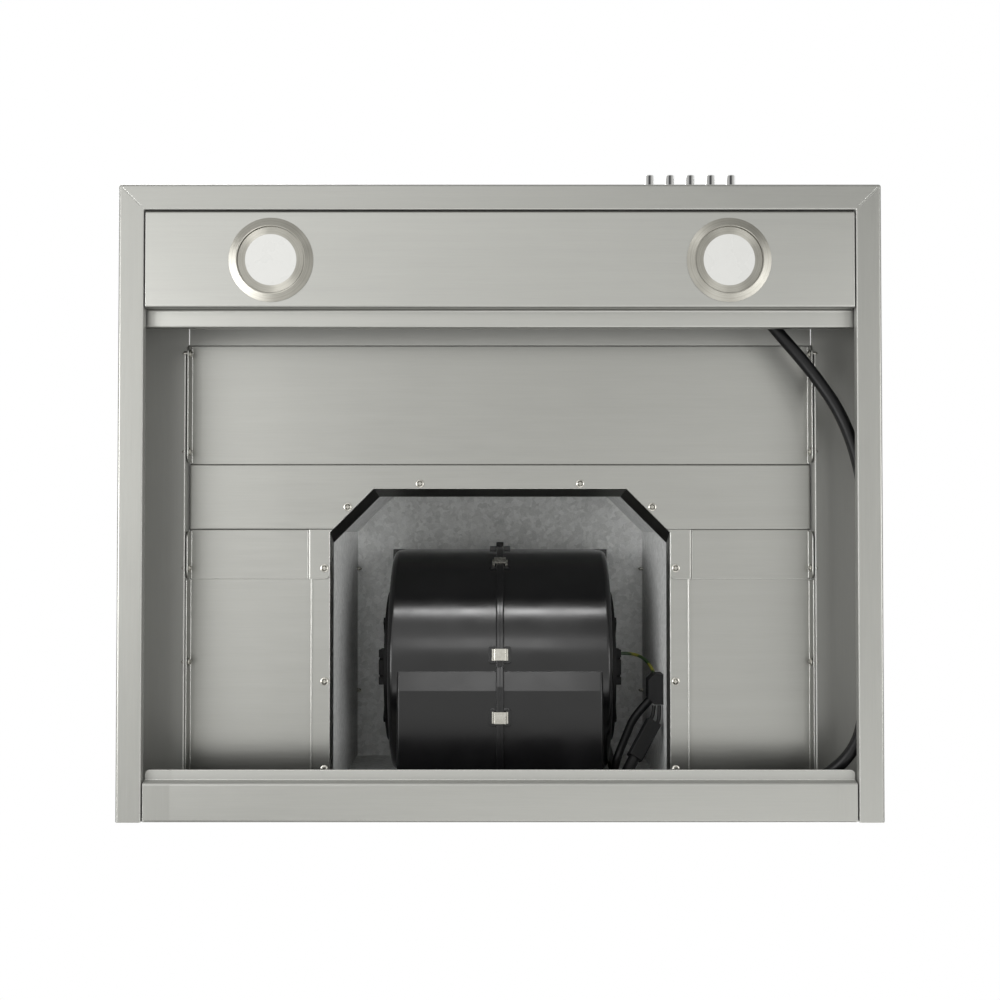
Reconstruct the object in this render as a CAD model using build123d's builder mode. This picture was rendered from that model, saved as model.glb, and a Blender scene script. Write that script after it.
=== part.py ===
from build123d import *
from math import acos, atan2, cos, degrees, hypot, pi, radians, sin, sqrt, tan
import os

# Wall range hood, T-shape: a flat canopy open below, and a telescoping chimney above it.
# X runs across the front, Y from the front (minus) to the wall (0), Z up.
# The origin is midway between the two wall holes, in the plane of the wall.

os.makedirs("parts", exist_ok=True)

# Canopy
canopy_width = 600.0
canopy_depth = 500.0
canopy_height = 65.0
wall_hole_height = 45.0  # wall holes above the rim
wall_hole_spacing = 400.0
wall_hole_radius = 4.0
sheet = 1.0  # stainless and galvanised sheet
bend = 2.0  # outside radius of the folds
seat_gap = 0.3  # between neighbours that only lie close
rim_side = 20.0  # width of the rim under the side walls
rim_front = 20.0
rim_lip = 8.0
mitre_width = 0.5
mitre_depth = 0.4
strip_slit = 0.5  # between the front strip and the side strips
side_strip = 43.0  # roof folded in from each side wall
front_strip = 128.0  # roof folded back from the front wall
seam_flange = 18.0
seam_gap = 1.0
flange_corner = 6.0
seam_screw_setbacks = (7.7, 10.0, 9.3)  # from the stiffener's front, the band, its rear
seam_screw_share = 0.64  # last screw, of the stiffener's distance from the wall

# Rear bar and the ledge that carries the filters
bar_depth = 30.5
bar_side_gap = 1.3
ledge_rise = 8.0
ledge_depth = 7.9
ledge_lean = 1.3
ledge_root = 0.4  # tight inside fold under the ledge
ledge_corner = 3.5
bar_edge = 6.0
back_flange = 16.0
ear_width = 9.0
ear_offset = 7.0  # from the side of the roof opening
ear_foot = 9.0
ear_rise_height = 24.0
ear_gap = 0.1

# Light panel
panel_depth = 76.3
panel_gap = 1.2
panel_step = 12.0
panel_ledge = 14.4
panel_wing = 3.3  # the ledge reaches past the panel at both ends
panel_lip = 6.0
panel_flange = 10.0
panel_bracket_foot = 14.0
panel_bracket_length = 30.0
panel_bracket_inset = 43.7  # from the ends of the light panel
light_share = 0.6  # of the canopy's width, between the two lights
light_centre = 60.0  # behind the front wall
light_ring_radius = 33.2
light_ring_height = 2.5
light_inner_radius = 26.4
light_lens_radius = 20.2
light_sleeve = 0.8
light_groove = 0.6
light_plate_recess = 1.2
light_ring_edge = 0.6
light_base_height = 12.0
heat_sink_height = 20.0
heat_sink_fins = 9
fin_thickness = 1.4
light_clip_width = 8.0
light_clip_reach = 9.0
light_clip_toe = 1.0

# Push buttons
button_count = 5
button_radius = 3.8
button_spacing = 16.4
button_centre = 153.5  # right of the middle
button_height = 30.0  # above the rim
button_reach = 14.2
button_travel = 3.0
button_hole_clearance = 0.4
stem_radius = 2.0
stem_length = 14.0
stem_clearance = 0.08
switch_height = 24.0
switch_depth = 26.0
switch_margin = 9.0
switch_front_gap = 6.0
switch_ear = 8.0

# Roof opening, octagonal at the front
opening_half = 140.5
opening_front = 262.0  # from the wall
opening_back = 6.0
opening_chamfer = 36.0
collar_height = 25.0
collar_lean = 5.8
collar_flange = 16.0
collar_lip = 1.5
collar_edge = 0.8
stiffener_lap = 9.0
stiffener_edge = 0.8
stiffener_rear = 187.5  # from the wall
stiffener_flange = 15.0
band_front = 282.4  # from the wall
band_rear = 228.0
band_edge = 1.8
screw_inset = 4.2
roof_screw_share = 0.47  # front pair, of the opening's half width
roof_screw_rows = (196.5, 103.1, 31.0)  # beside the opening, from the wall

# Fan chamber above the opening
chamber_fit = 0.1
chamber_flange = 11.5
lid_rim = 12.0
flange_back_gap = 4.6

# Fan housing, a double-inlet scroll
fan_height = 205.0  # fan axis above the rim
fan_from_wall = 103.0
scroll_radius = 90.3
scroll_growth = 6.4  # radius gained in each quarter turn
scroll_half_width = 97.0
scroll_wall = 2.2
scroll_edge = 5.0
mouth_rise = 97.0  # chamber lid above the fan axis
mouth_back = 27.0  # rear wall of the mouth behind the axis
mouth_flange = 9.0
mouth_flange_thickness = 2.5
mouth_screw_share = 0.7  # of the mouth's half depth
inlet_radius = 62.0
ridge_half = 3.3
ridge_rise = 4.0
ridge_edge = 1.0
box_step = 9.0  # between the side of the scroll and the side of the box
box_front = 4.0  # ahead of the fan axis
box_drop = 105.0  # below the fan axis
box_ramp = 16.0
box_back = 93.0
box_edge = 2.5
clip_width = 10.0
clip_sheet = 0.8
clip_foot = 1.5
clip_inner = 4.6
clip_angles = (8.3, 62.0, -127.0)  # degrees towards the front from straight down
box_clip_share = 0.37  # of the box's depth behind the axis
boss_radius = 3.4
boss_length = 3.8
boss_rise = 8.0  # above the fan axis
joint_ear_half = 9.4
joint_ear_length = 14.8
joint_ear_thickness = 1.4
joint_ear_corner = 1.5
joint_ear_height = 10.0
joint_ear_rise = 3.0

# Fan wheel and motor
wheel_radius = 75.0
wheel_side_gap = 11.0  # from the side of the scroll
wheel_ring = 3.0
wheel_disc = 2.5
blade_count = 36
blade_chord = 12.5
blade_thickness = 1.2
blade_sweep = 9.0  # degrees that a blade leans forward
rotor_radius = 42.0
rotor_half_width = 46.0
rotor_flange_radius = 50.0
rotor_flange_thickness = 2.5
rotor_screw_circle = 46.0
axle_radius = 5.0
axle_reach = 10.0  # past the side of the scroll
axle_clearance = 0.05
bearing_radius = 13.0
bearing_width = 8.0
hub_radius = 15.8
hub_reach = 13.5
hub_wall = 2.5
hub_root = 3.0  # inside the side of the scroll
hub_edge = 1.5
terminal_drop = 4.0
terminal_slot = 2.4
terminal_slot_depth = 3.5
grille_depth = 5.0
bush_radius = 11.0
grille_rim = 7.0
grille_thickness = 3.0
grille_wheel_gap = 3.0
bell_depth = 4.0  # rounded throat of the inlet
bell_spread = 4.5
grille_arm = 6.0
grille_arms = 4

# Outlet and its backdraught flaps
duct_radius = 75.0
duct_wall = 2.0
duct_height = 45.0
adapter_height = 30.0
adapter_flange = 10.0
adapter_flange_thickness = 2.5
flap_seat = 3.0
flap_gap = 1.2
flap_thickness = 1.5
flap_root = 5.5  # plate edge from the rod's middle
flap_axis_height = 14.0
flap_rod_radius = 1.5
flap_rod_clearance = 0.08
knuckle_wall = 1.8
knuckle_length = 16.0
knuckle_spacing = 36.0
knuckle_count = 3
mouth_corner = 6.0

# Chimney covers
chimney_side_clearance = 18.5  # from the roof opening to the cover
chimney_depth = 284.0
chimney_height = 420.0
chimney_return = 12.0
cover_gap = 0.5
upper_height = 540.0
upper_return_gap = 3.0
vent_count = 7
vent_length = 70.0
vent_height = 5.0
vent_pitch = 12.0
vent_top = 45.0
bracket_height = 30.0
bracket_half = 130.0
bracket_arm_gap = 6.0
bracket_tab = 25.0
bracket_drop = 60.0
bracket_hole_spacing = 200.0
bracket_hole_radius = 3.0

# Junction box and capacitor on the chamber lid
junction_width = 100.0
junction_depth = 44.0
junction_height = 32.0
junction_wall = 2.0
junction_cover_height = 2.5
junction_offset = 33.0  # from the side of the scroll
electric_y = -37.0
gland_radius = 8.0
gland_nut = 11.0
gland_height = 20.0
gland_bore = 4.2
gland_offset = 34.0  # from the middle of the box
capacitor_radius = 14.0
capacitor_length = 62.0
capacitor_x = -60.0
capacitor_edge = 1.5
blade_spacing = 10.0
blade_terminal_width = 6.3
blade_terminal_thickness = 0.8
blade_terminal_length = 9.0
strap_width = 14.0
strap_foot_length = 9.0
driver_width = 96.0
driver_depth = 38.0
driver_height = 22.0
driver_x = -70.0

# Screws
pan_radius = 3.3
pan_height = 2.2
shank_radius = 1.75
shank_length = 9.0
screw_clearance = 0.15
cross_width = 0.8

# Wiring
sleeve_radius = 5.0
lead_radius = 3.6
earth_radius = 1.5
thin_radius = 1.7
lead_clip_height = 22.0
lead_clip_width = 26.0
lead_clip_reach = 13.0
lead_clip_corner = 5.0
clip_behind_axis = 13.0
clip_rise = 132.0  # above the rim
connector_width = 13.0
connector_thickness = 12.0
grommet_radius = 6.0
grommet_lip = 1.5
lead_exit_offset = 5.6  # from the side of the scroll
lead_exit_y = -25.0

# Places that follow from the sizes above
z_rim = -wall_hole_height
z_top = z_rim + canopy_height
y_front = -canopy_depth
x_side = canopy_width / 2
x_mouth = x_side - rim_side
y_mouth = y_front + rim_front
x_seam = x_side - side_strip
y_seam = y_front + front_strip
x_skin = x_seam - seat_gap
x_stiffener = x_seam - seam_gap
z_skin = z_top - sheet
z_stiffener = z_skin - sheet
y_stiffener = y_seam - stiffener_lap
pocket_half = opening_half + collar_flange + sheet
pocket_front = opening_front + collar_flange + sheet
z_pocket = z_stiffener - collar_lip - sheet
z_band = z_pocket - sheet
x_panel = x_mouth - bar_side_gap
x_panel_wing = x_panel + panel_wing
y_panel = y_mouth + panel_gap
y_ledge = y_panel + panel_depth
y_light = y_front + light_centre
light_spacing = light_share * canopy_width
ear_inner = opening_half + ear_offset
z_button = z_rim + button_height
fan_y = -fan_from_wall
fan_z = z_rim + fan_height
z_lid = fan_z + mouth_rise
z_boss = fan_z + boss_rise
chamber_inner = sheet + chamber_fit
chamber_outer = chamber_inner + sheet
mouth_front_y = fan_y - scroll_radius - 2.5 * scroll_growth
mouth_back_y = fan_y + mouth_back
box_half = scroll_half_width - box_step
wheel_half_width = scroll_half_width - wheel_side_gap
axle_half = scroll_half_width + axle_reach
junction_x = scroll_half_width - junction_offset
gland_x = junction_x - gland_offset
lead_exit = (scroll_half_width + lead_exit_offset, lead_exit_y)
duct_y = (mouth_front_y + mouth_back_y) / 2
duct_inner = duct_radius - duct_wall
z_adapter = z_lid + sheet
z_duct = z_adapter + adapter_height
z_flap = z_duct + flap_axis_height
chimney_half = opening_half + chimney_side_clearance
upper_half = chimney_half - sheet - cover_gap
upper_depth = chimney_depth - sheet - cover_gap
z_bracket = z_top + upper_height - bracket_drop
z_clip = z_rim + clip_rise
clip_y = fan_y + clip_behind_axis
chamber_wall_x = opening_half + chamber_inner
lid_screw_rows = (-190.0, -70.0)
bracket_tab_y = -upper_return_gap - bracket_arm_gap - 0.6 * bracket_tab


def folded(plane, points, thickness=sheet, side=Side.RIGHT, radius=bend):
    """Cross-section of a folded sheet: its folds, with the thickness on one side."""
    with BuildSketch(plane) as section:
        with BuildLine():
            FilletPolyline(*points, radius=radius)
            offset(amount=thickness, side=side)
        make_face()
    return section.sketch


def rectangle_between(x_low, x_high, y_low, y_high, mode=Mode.ADD):
    """Rectangle given by its edges, added to the sketch in hand."""
    with Locations(((x_low + x_high) / 2, (y_low + y_high) / 2)):
        Rectangle(x_high - x_low, y_high - y_low, mode=mode)


def band_between(side, near, far):
    """The two x values of a strip on one side of the middle, lowest first."""
    return sorted((side * near, side * far))


def opening_outline(level, growth=0.0, lean=0.0):
    """Octagonal outline of the roof opening, grown all round, drawn in at the front."""
    with BuildSketch(Plane.XY.offset(level)) as outline:
        rectangle_between(-opening_half, opening_half, lean - opening_front, -opening_back)
        front_corners = outline.vertices().group_by(Axis.Y)[0]
        chamfer(front_corners, length=opening_chamfer + lean / 2)
        if growth:
            offset(amount=growth, kind=Kind.INTERSECTION)
    return outline.sketch


def roof_screw_places():
    """Screws round the opening, on the right side: front, corner, then three beside it."""
    half_cut = opening_chamfer / 2
    diagonal = screw_inset / sqrt(2)
    front = (roof_screw_share * opening_half, -opening_front - screw_inset)
    corner = (opening_half - half_cut + diagonal, -opening_front + half_cut - diagonal)
    beside = opening_half + screw_inset
    return [front, corner] + [(beside, -row) for row in roof_screw_rows]


def mouth_screw_places():
    """Screws that clamp the outlet, the lid and the housing's flange: beside it and behind."""
    margin = mouth_flange / 2
    beside = scroll_half_width + margin
    across = scroll_half_width / 2
    half_depth = (mouth_back_y - mouth_front_y) / 2
    right = [(beside, duct_y + end * mouth_screw_share * half_depth) for end in (-1, 1)]
    right.append((across, duct_y + half_depth + margin))
    return both_sides(right)


def both_sides(places):
    """The places and their mirror images about the middle plane."""
    return [(side * x, y) for x, y in places for side in (-1, 1)]


def roof_screw_holes(level, thickness, count=5):
    """Clearance holes for the first of the roof screws, through the sheet in hand."""
    with BuildSketch(Plane.XY.offset(level)) as holes:
        with Locations(*both_sides(roof_screw_places()[:count])):
            Circle(shank_radius + screw_clearance)
    extrude(holes.sketch, amount=thickness, mode=Mode.SUBTRACT)


def mouth_screw_holes(level, thickness):
    """Clearance holes round the mouth, through the flange in hand."""
    with BuildSketch(Plane.XY.offset(level)) as holes:
        with Locations(*mouth_screw_places()):
            Circle(shank_radius + screw_clearance)
    extrude(holes.sketch, amount=thickness, mode=Mode.SUBTRACT)


def lid_screw_holes():
    """Holes across the chamber and the rim of its lid, through the part in hand."""
    with BuildSketch(Plane.YZ) as holes:
        with Locations(*[(row, z_lid - lid_rim / 2) for row in lid_screw_rows]):
            Circle(shank_radius + screw_clearance)
    extrude(holes.sketch, amount=x_side, both=True, mode=Mode.SUBTRACT)


def seam_screw_rows():
    """Places along Y of the screws that cross the side seams."""
    return (
        y_stiffener + seam_screw_setbacks[0],
        -band_front - seam_screw_setbacks[1],
        -stiffener_rear - seam_screw_setbacks[2],
        -seam_screw_share * stiffener_rear,
    )


def seam_screw_holes(side, rows):
    """Holes across one side seam, through the flange in hand."""
    with BuildSketch(Plane.YZ.offset(side * x_seam)) as holes:
        with Locations(*[(row, z_skin - 0.5 * seam_flange) for row in rows]):
            Circle(shank_radius + screw_clearance)
    extrude(holes.sketch, amount=3 * sheet, both=True, mode=Mode.SUBTRACT)


def pan_screw(length):
    """Pan-head screw with a cross recess: seat at the origin, head along +Z."""
    with BuildPart() as screw:
        with BuildSketch(Plane.XZ):
            with BuildLine():
                crown = Line((0, pan_height), (0.4 * pan_radius, pan_height))
                cheek = RadiusArc(crown @ 1, (pan_radius, 0.3 * pan_height), -0.8 * pan_radius)
                Polyline(
                    cheek @ 1,
                    (pan_radius, 0),
                    (shank_radius, 0),
                    (shank_radius, shank_radius - length),
                    (0, -length),
                    (0, pan_height),
                )
            make_face()
        revolve(axis=Axis.Z)
        with BuildSketch(Plane.XY.offset(pan_height)):
            Rectangle(pan_radius, cross_width)
            Rectangle(cross_width, pan_radius)
        extrude(amount=-0.6 * pan_height, mode=Mode.SUBTRACT)
    return screw.part


def scroll_outline(inset=0.0, mouth=z_lid):
    """Scroll in the YZ plane: three quarter turns, each wider, and a straight mouth."""
    half = scroll_growth / 2
    first = scroll_radius - inset
    top_centre = (fan_y + half, fan_z - half)
    low_centre = (fan_y - half, fan_z - half)
    front_centre = (fan_y - half, fan_z + half)
    back = mouth_back_y - inset
    start = degrees(acos((back - top_centre[0]) / first))
    front = front_centre[0] - first - 2 * scroll_growth
    with BuildSketch(Plane.YZ) as outline:
        with BuildLine():
            rear_turn = CenterArc(top_centre, first, start, -start)
            CenterArc(low_centre, first + scroll_growth, 0, -90)
            CenterArc(front_centre, first + 2 * scroll_growth, -90, -90)
            Polyline((front, front_centre[1]), (front, mouth), (back, mouth), rear_turn @ 0)
        make_face()
    return outline.sketch


def box_outline(inset=0.0):
    """Box under the rear of the scroll, in the YZ plane."""
    ahead = fan_y - box_front + inset
    low = fan_z - box_drop + inset
    behind = fan_y + box_back - inset
    with BuildSketch(Plane.YZ) as outline:
        with BuildLine():
            Polyline(
                (ahead, fan_z - 0.8 * scroll_radius),
                (ahead, low + 0.25 * box_ramp),
                (ahead + box_ramp, low),
                (behind, low),
                (behind, fan_z - 0.3 * scroll_radius),
                (ahead, fan_z - 0.8 * scroll_radius),
            )
        make_face()
    return outline.sketch


def route_radii(points):
    """Bend radius at each corner of a route: as large as the shorter run allows."""
    radii = []
    for before, corner, after in zip(points, points[1:], points[2:]):
        run_in = Vector(*corner) - Vector(*before)
        run_out = Vector(*after) - Vector(*corner)
        turn = radians(run_in.get_angle(run_out))
        radii.append(0.45 * min(run_in.length, run_out.length) / tan(turn / 2))
    return radii


def lead(name, points, radius):
    """Round lead along straight runs joined by tangent arcs; prints its bends."""
    radii = route_radii(points)
    with BuildPart() as solid:
        with BuildLine():
            route = FilletPolyline(*points, radius=radii)
        with BuildSketch(Plane(route @ 0, z_dir=route % 0)):
            Circle(radius)
        sweep(path=route)
    length = route.length
    share = solid.part.volume / (pi * radius**2 * length)
    print(name, "length", round(length, 1), "volume share", round(share, 4))
    print("  bend radii", [round(bend_radius, 1) for bend_radius in radii])
    return solid.part


# Canopy shell: front wall, side walls, rim and roof strips, folded from one sheet
with BuildPart() as canopy_shell:
    with BuildSketch(Plane.XY.offset(z_rim)):
        rectangle_between(-x_side, x_side, y_front, 0)
    extrude(amount=canopy_height)
    along = canopy_shell.edges().filter_by(Axis.Y)
    across = canopy_shell.edges().filter_by(Axis.X).group_by(Axis.Y)[0]
    upright = canopy_shell.edges().filter_by(Axis.Z).group_by(Axis.Y)[0]
    fillet(along + across + upright, radius=bend)
    offset(amount=-sheet, openings=canopy_shell.faces().sort_by(Axis.Y)[-1])
    with BuildSketch(Plane.XY.offset(z_rim)):
        rectangle_between(-x_mouth, x_mouth, y_mouth, 0)
    extrude(amount=sheet, mode=Mode.SUBTRACT)
    with BuildSketch(Plane.XY.offset(z_top)):
        rectangle_between(-x_seam, x_seam, y_seam, 0)
    extrude(amount=-sheet, mode=Mode.SUBTRACT)
    # Lip turned up along the edge of the mouth
    with BuildSketch(Plane.XY.offset(z_rim)):
        with BuildLine():
            Polyline((-x_mouth, 0), (-x_mouth, y_mouth), (x_mouth, y_mouth), (x_mouth, 0))
            offset(amount=sheet, side=Side.RIGHT)
        make_face()
    extrude(amount=rim_lip)
    mouth_edges = canopy_shell.edges().filter_by_position(Axis.Z, z_rim - 0.01, z_rim + 0.01)
    mouth_edges = mouth_edges.filter_by_position(Axis.X, -x_mouth - 0.01, x_mouth + 0.01)
    mouth_edges = mouth_edges.filter_by_position(Axis.Y, y_mouth - 0.01, -1.0)
    fillet(mouth_edges, radius=0.9 * sheet)
    lip_end = -sheet - seat_gap
    with BuildSketch(Plane.XY.offset(z_rim + sheet)):
        for side in (-1, 1):
            rectangle_between(*band_between(side, x_mouth - sheet, x_mouth + 2 * sheet), lip_end, 0)
    extrude(amount=rim_lip, mode=Mode.SUBTRACT)
    # Slits where the front strip meets the side strips
    with BuildSketch(Plane.XY.offset(z_top)):
        for side in (-1, 1):
            slit_span = band_between(side, x_seam + sheet / 2, x_seam + sheet / 2 + strip_slit)
            rectangle_between(*slit_span, y_front + 2 * bend, y_seam)
    extrude(amount=-sheet, mode=Mode.SUBTRACT)
    # Flanges turned down along the side seams
    for side in (-1, 1):
        with BuildSketch(Plane.XY.offset(z_top)):
            rectangle_between(*band_between(side, x_seam, x_seam + sheet), y_seam, lip_end)
        extrude(amount=-sheet - seam_flange)
        seam_screw_holes(side, seam_screw_rows())
    # Fine groove where the rim is mitred at each front corner
    mitre_length = hypot(rim_side, rim_front) - 4 * bend
    with BuildSketch(Plane.XY.offset(z_rim)):
        for side in (-1, 1):
            with Locations((side * (x_side + x_mouth) / 2, (y_front + y_mouth) / 2)):
                mitre_angle = -side * degrees(atan2(rim_front, rim_side))
                Rectangle(mitre_length, mitre_width, rotation=mitre_angle)
    extrude(amount=mitre_depth, mode=Mode.SUBTRACT)
    with BuildSketch(Plane.XZ.offset(-y_front)):
        with Locations((button_centre, z_button)):
            with GridLocations(button_spacing, 0, button_count, 1):
                Circle(button_radius + button_hole_clearance)
    extrude(amount=-2 * sheet, mode=Mode.SUBTRACT)

# Back panel: wall side of the canopy, folded forward into the rear bar and its ledge
x_bar = x_mouth - bar_side_gap
with BuildPart() as back_panel:
    bar_folds = [
        (0, z_skin),
        (0, z_rim),
        (-bar_depth, z_rim),
        (-bar_depth - ledge_lean, z_rim + ledge_rise),
        (-bar_depth - ledge_lean - ledge_depth, z_rim + ledge_rise),
    ]
    bar_section = folded(Plane.YZ, bar_folds, radius=(bend, bend, ledge_root))
    extrude(bar_section, amount=x_bar, both=True)
    ledge_corners = back_panel.edges().filter_by(Axis.Z).group_by(Axis.Y)[0]
    fillet(ledge_corners, radius=ledge_corner)
    wall_half = x_side - sheet - seat_gap
    with BuildSketch(Plane.XZ) as wall_face:
        rectangle_between(-wall_half, wall_half, z_rim + 2 * bend, z_skin)
        fillet(wall_face.vertices(), radius=bend)
    extrude(amount=sheet)
    # Tabs folded forward under the roof, on both sides of the opening
    tab_folds = [(-back_flange, z_skin), (0, z_skin), (0, z_skin - 5 * bend)]
    for side in (-1, 1):
        tab_middle = side * (pocket_half + x_stiffener) / 2
        tab_half = (x_stiffener - pocket_half) / 2 - 2 * sheet
        extrude(folded(Plane.YZ.offset(tab_middle), tab_folds), amount=tab_half, both=True)
    # Upturned edges at the ends of the bar
    with BuildSketch(Plane.XY.offset(z_rim)):
        for side in (-1, 1):
            rectangle_between(*band_between(side, x_bar - sheet, x_bar), 2 * bend - bar_depth, -sheet)
    extrude(amount=bar_edge)
    # Ears that stand through the roof, ahead of the lower chimney cover's folded edges
    with BuildSketch(Plane.XZ.offset(sheet)):
        for side in (-1, 1):
            rectangle_between(*band_between(side, ear_inner, ear_inner + ear_width), z_skin - ear_foot, z_skin)
    extrude(amount=sheet + ear_gap)
    with BuildSketch(Plane.XZ.offset(sheet + ear_gap)):
        for side in (-1, 1):
            ear_span = band_between(side, ear_inner, ear_inner + ear_width)
            rectangle_between(*ear_span, z_skin, z_top + ear_rise_height)
    extrude(amount=sheet)
    with BuildSketch(Plane.XZ):
        with GridLocations(wall_hole_spacing, 0, 2, 1):
            Circle(wall_hole_radius)
    extrude(amount=2 * sheet, mode=Mode.SUBTRACT)

# Roof skin between the side strips, with the octagonal opening
with BuildPart() as roof_skin:
    with BuildSketch(Plane.XY.offset(z_skin)):
        rectangle_between(-x_skin, x_skin, y_seam + seat_gap, 0)
    extrude(amount=sheet)
    flange_span = (-stiffener_rear + seat_gap, -back_flange - 2 * bend)
    for side in (-1, 1):
        with BuildSketch(Plane.XY.offset(z_skin)):
            rectangle_between(*band_between(side, x_skin - sheet, x_skin), *flange_span)
        extrude(amount=-stiffener_flange)
        seam_screw_holes(side, seam_screw_rows()[3:])
    extrude(opening_outline(z_skin, sheet + chamber_fit), amount=sheet, mode=Mode.SUBTRACT)
    with BuildSketch(Plane.XY.offset(z_skin)):
        for side in (-1, 1):
            notch = band_between(side, ear_inner - seat_gap, ear_inner + ear_width + seat_gap)
            rectangle_between(*notch, -2 * sheet - ear_gap - seat_gap, 0)
    extrude(amount=sheet, mode=Mode.SUBTRACT)
    roof_screw_holes(z_skin, sheet)

# Roof stiffener under the front of the skin, pressed down where the collar lies between
with BuildPart() as roof_stiffener:
    with BuildSketch(Plane.XY.offset(z_stiffener)):
        rectangle_between(-x_stiffener, x_stiffener, y_stiffener, -stiffener_rear)
    extrude(amount=sheet)
    with BuildSketch(Plane.XY.offset(z_pocket)):
        rectangle_between(-pocket_half - sheet, pocket_half + sheet, -pocket_front - sheet, -stiffener_rear)
    extrude(amount=z_stiffener - z_pocket)
    lowest = roof_stiffener.faces().sort_by(Axis.Z)[0].edges()
    fillet(lowest.filter_by(Axis.Y), radius=bend)
    front_edge = roof_stiffener.edges().filter_by(Axis.X).group_by(Axis.Y)[0].sort_by(Axis.Z)[0]
    fillet(front_edge, radius=stiffener_edge)
    with BuildSketch(Plane.XY.offset(z_pocket + sheet)):
        rectangle_between(-pocket_half, pocket_half, -pocket_front, -stiffener_rear)
    extrude(amount=z_skin - z_pocket - sheet, mode=Mode.SUBTRACT)
    extrude(opening_outline(z_pocket), amount=sheet, mode=Mode.SUBTRACT)
    corner_edges = roof_stiffener.edges().filter_by(Axis.Z).group_by(Axis.Y)[-1]
    corner_edges = corner_edges.filter_by_position(Axis.X, -opening_half - 1, opening_half + 1)
    fillet(corner_edges, radius=flange_corner - sheet)
    # Side flanges on both sides of the cross band, with rounded ends
    for side in (-1, 1):
        for span in ((y_stiffener + sheet, -band_front - sheet), (-band_rear + sheet, -stiffener_rear - sheet)):
            with BuildSketch(Plane.YZ.offset(side * x_stiffener)) as flange_face:
                rectangle_between(*span, z_stiffener - stiffener_flange, z_stiffener + sheet / 2)
                fillet(flange_face.vertices().group_by(Axis.Y)[0], radius=flange_corner)
            extrude(amount=-side * sheet)
        seam_screw_holes(side, seam_screw_rows()[:3])
    roof_screw_holes(z_pocket, sheet, 3)

# Cross band under the stiffener, in front of the opening
x_band = x_seam - 2 * seat_gap
pocket_side = pocket_half + sheet + seat_gap
with BuildPart() as cross_band:
    with BuildSketch(Plane.XY.offset(z_band)):
        rectangle_between(-x_band, x_band, -band_front, -band_rear)
    extrude(amount=z_stiffener - z_band)
    fillet(cross_band.faces().sort_by(Axis.Z)[0].edges(), radius=band_edge)
    offset(amount=-sheet, openings=cross_band.faces().sort_by(Axis.Z)[-1])
    with BuildSketch(Plane.XY.offset(z_pocket)):
        rectangle_between(-pocket_side, pocket_side, -pocket_front - sheet - seat_gap, 0)
    extrude(amount=z_stiffener - z_pocket, mode=Mode.SUBTRACT)
    extrude(opening_outline(z_band), amount=sheet, mode=Mode.SUBTRACT)
    roof_screw_holes(z_band, sheet, 2)

# Opening collar: flange under the skin, and a wall that leans in at the front
with BuildPart() as opening_collar:
    extrude(opening_outline(z_stiffener - collar_lip, collar_flange), amount=collar_lip + sheet)
    fillet(opening_collar.faces().sort_by(Axis.Z)[0].edges(), radius=collar_edge)
    inside_lip = opening_outline(z_stiffener - collar_lip, collar_flange - sheet)
    extrude(inside_lip, amount=collar_lip, mode=Mode.SUBTRACT)
    with BuildSketch(Plane.XY.offset(z_stiffener - collar_lip)):
        rectangle_between(-chimney_half, chimney_half, -flange_back_gap, collar_flange)
    extrude(amount=collar_lip + sheet, mode=Mode.SUBTRACT)
    z_collar = z_top + collar_height
    loft([opening_outline(z_stiffener, sheet), opening_outline(z_collar, sheet, collar_lean)], ruled=True)
    inner_wall = [opening_outline(z_stiffener), opening_outline(z_collar, 0, collar_lean)]
    loft(inner_wall, ruled=True, mode=Mode.SUBTRACT)
    roof_screw_holes(z_stiffener, sheet)

# Fan chamber: galvanised walls that follow the opening, with a flange on the roof
with BuildPart() as fan_chamber:
    extrude(opening_outline(z_top, chamber_outer + chamber_flange), amount=sheet)
    with BuildSketch(Plane.XY.offset(z_top)):
        rectangle_between(-chimney_half, chimney_half, -flange_back_gap, chamber_flange)
    extrude(amount=sheet, mode=Mode.SUBTRACT)
    extrude(opening_outline(z_top, chamber_outer), amount=z_lid - z_top)
    extrude(opening_outline(z_top, chamber_inner), amount=z_lid - z_top, mode=Mode.SUBTRACT)
    roof_screw_holes(z_top, sheet)
    lid_screw_holes()

# Chamber lid with the scroll's mouth in it
lid_inner = chamber_outer + chamber_fit
with BuildPart() as chamber_lid:
    extrude(opening_outline(z_lid - lid_rim, lid_inner + sheet), amount=lid_rim + sheet)
    extrude(opening_outline(z_lid - lid_rim, lid_inner), amount=lid_rim, mode=Mode.SUBTRACT)
    with BuildSketch(Plane.XY.offset(z_lid)):
        mouth_half = scroll_half_width - scroll_wall
        rectangle_between(-mouth_half, mouth_half, mouth_front_y + scroll_wall, mouth_back_y - scroll_wall)
        with Locations(lead_exit):
            Circle(grommet_radius)
    extrude(amount=sheet, mode=Mode.SUBTRACT)
    mouth_screw_holes(z_lid, sheet)
    lid_screw_holes()

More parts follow.
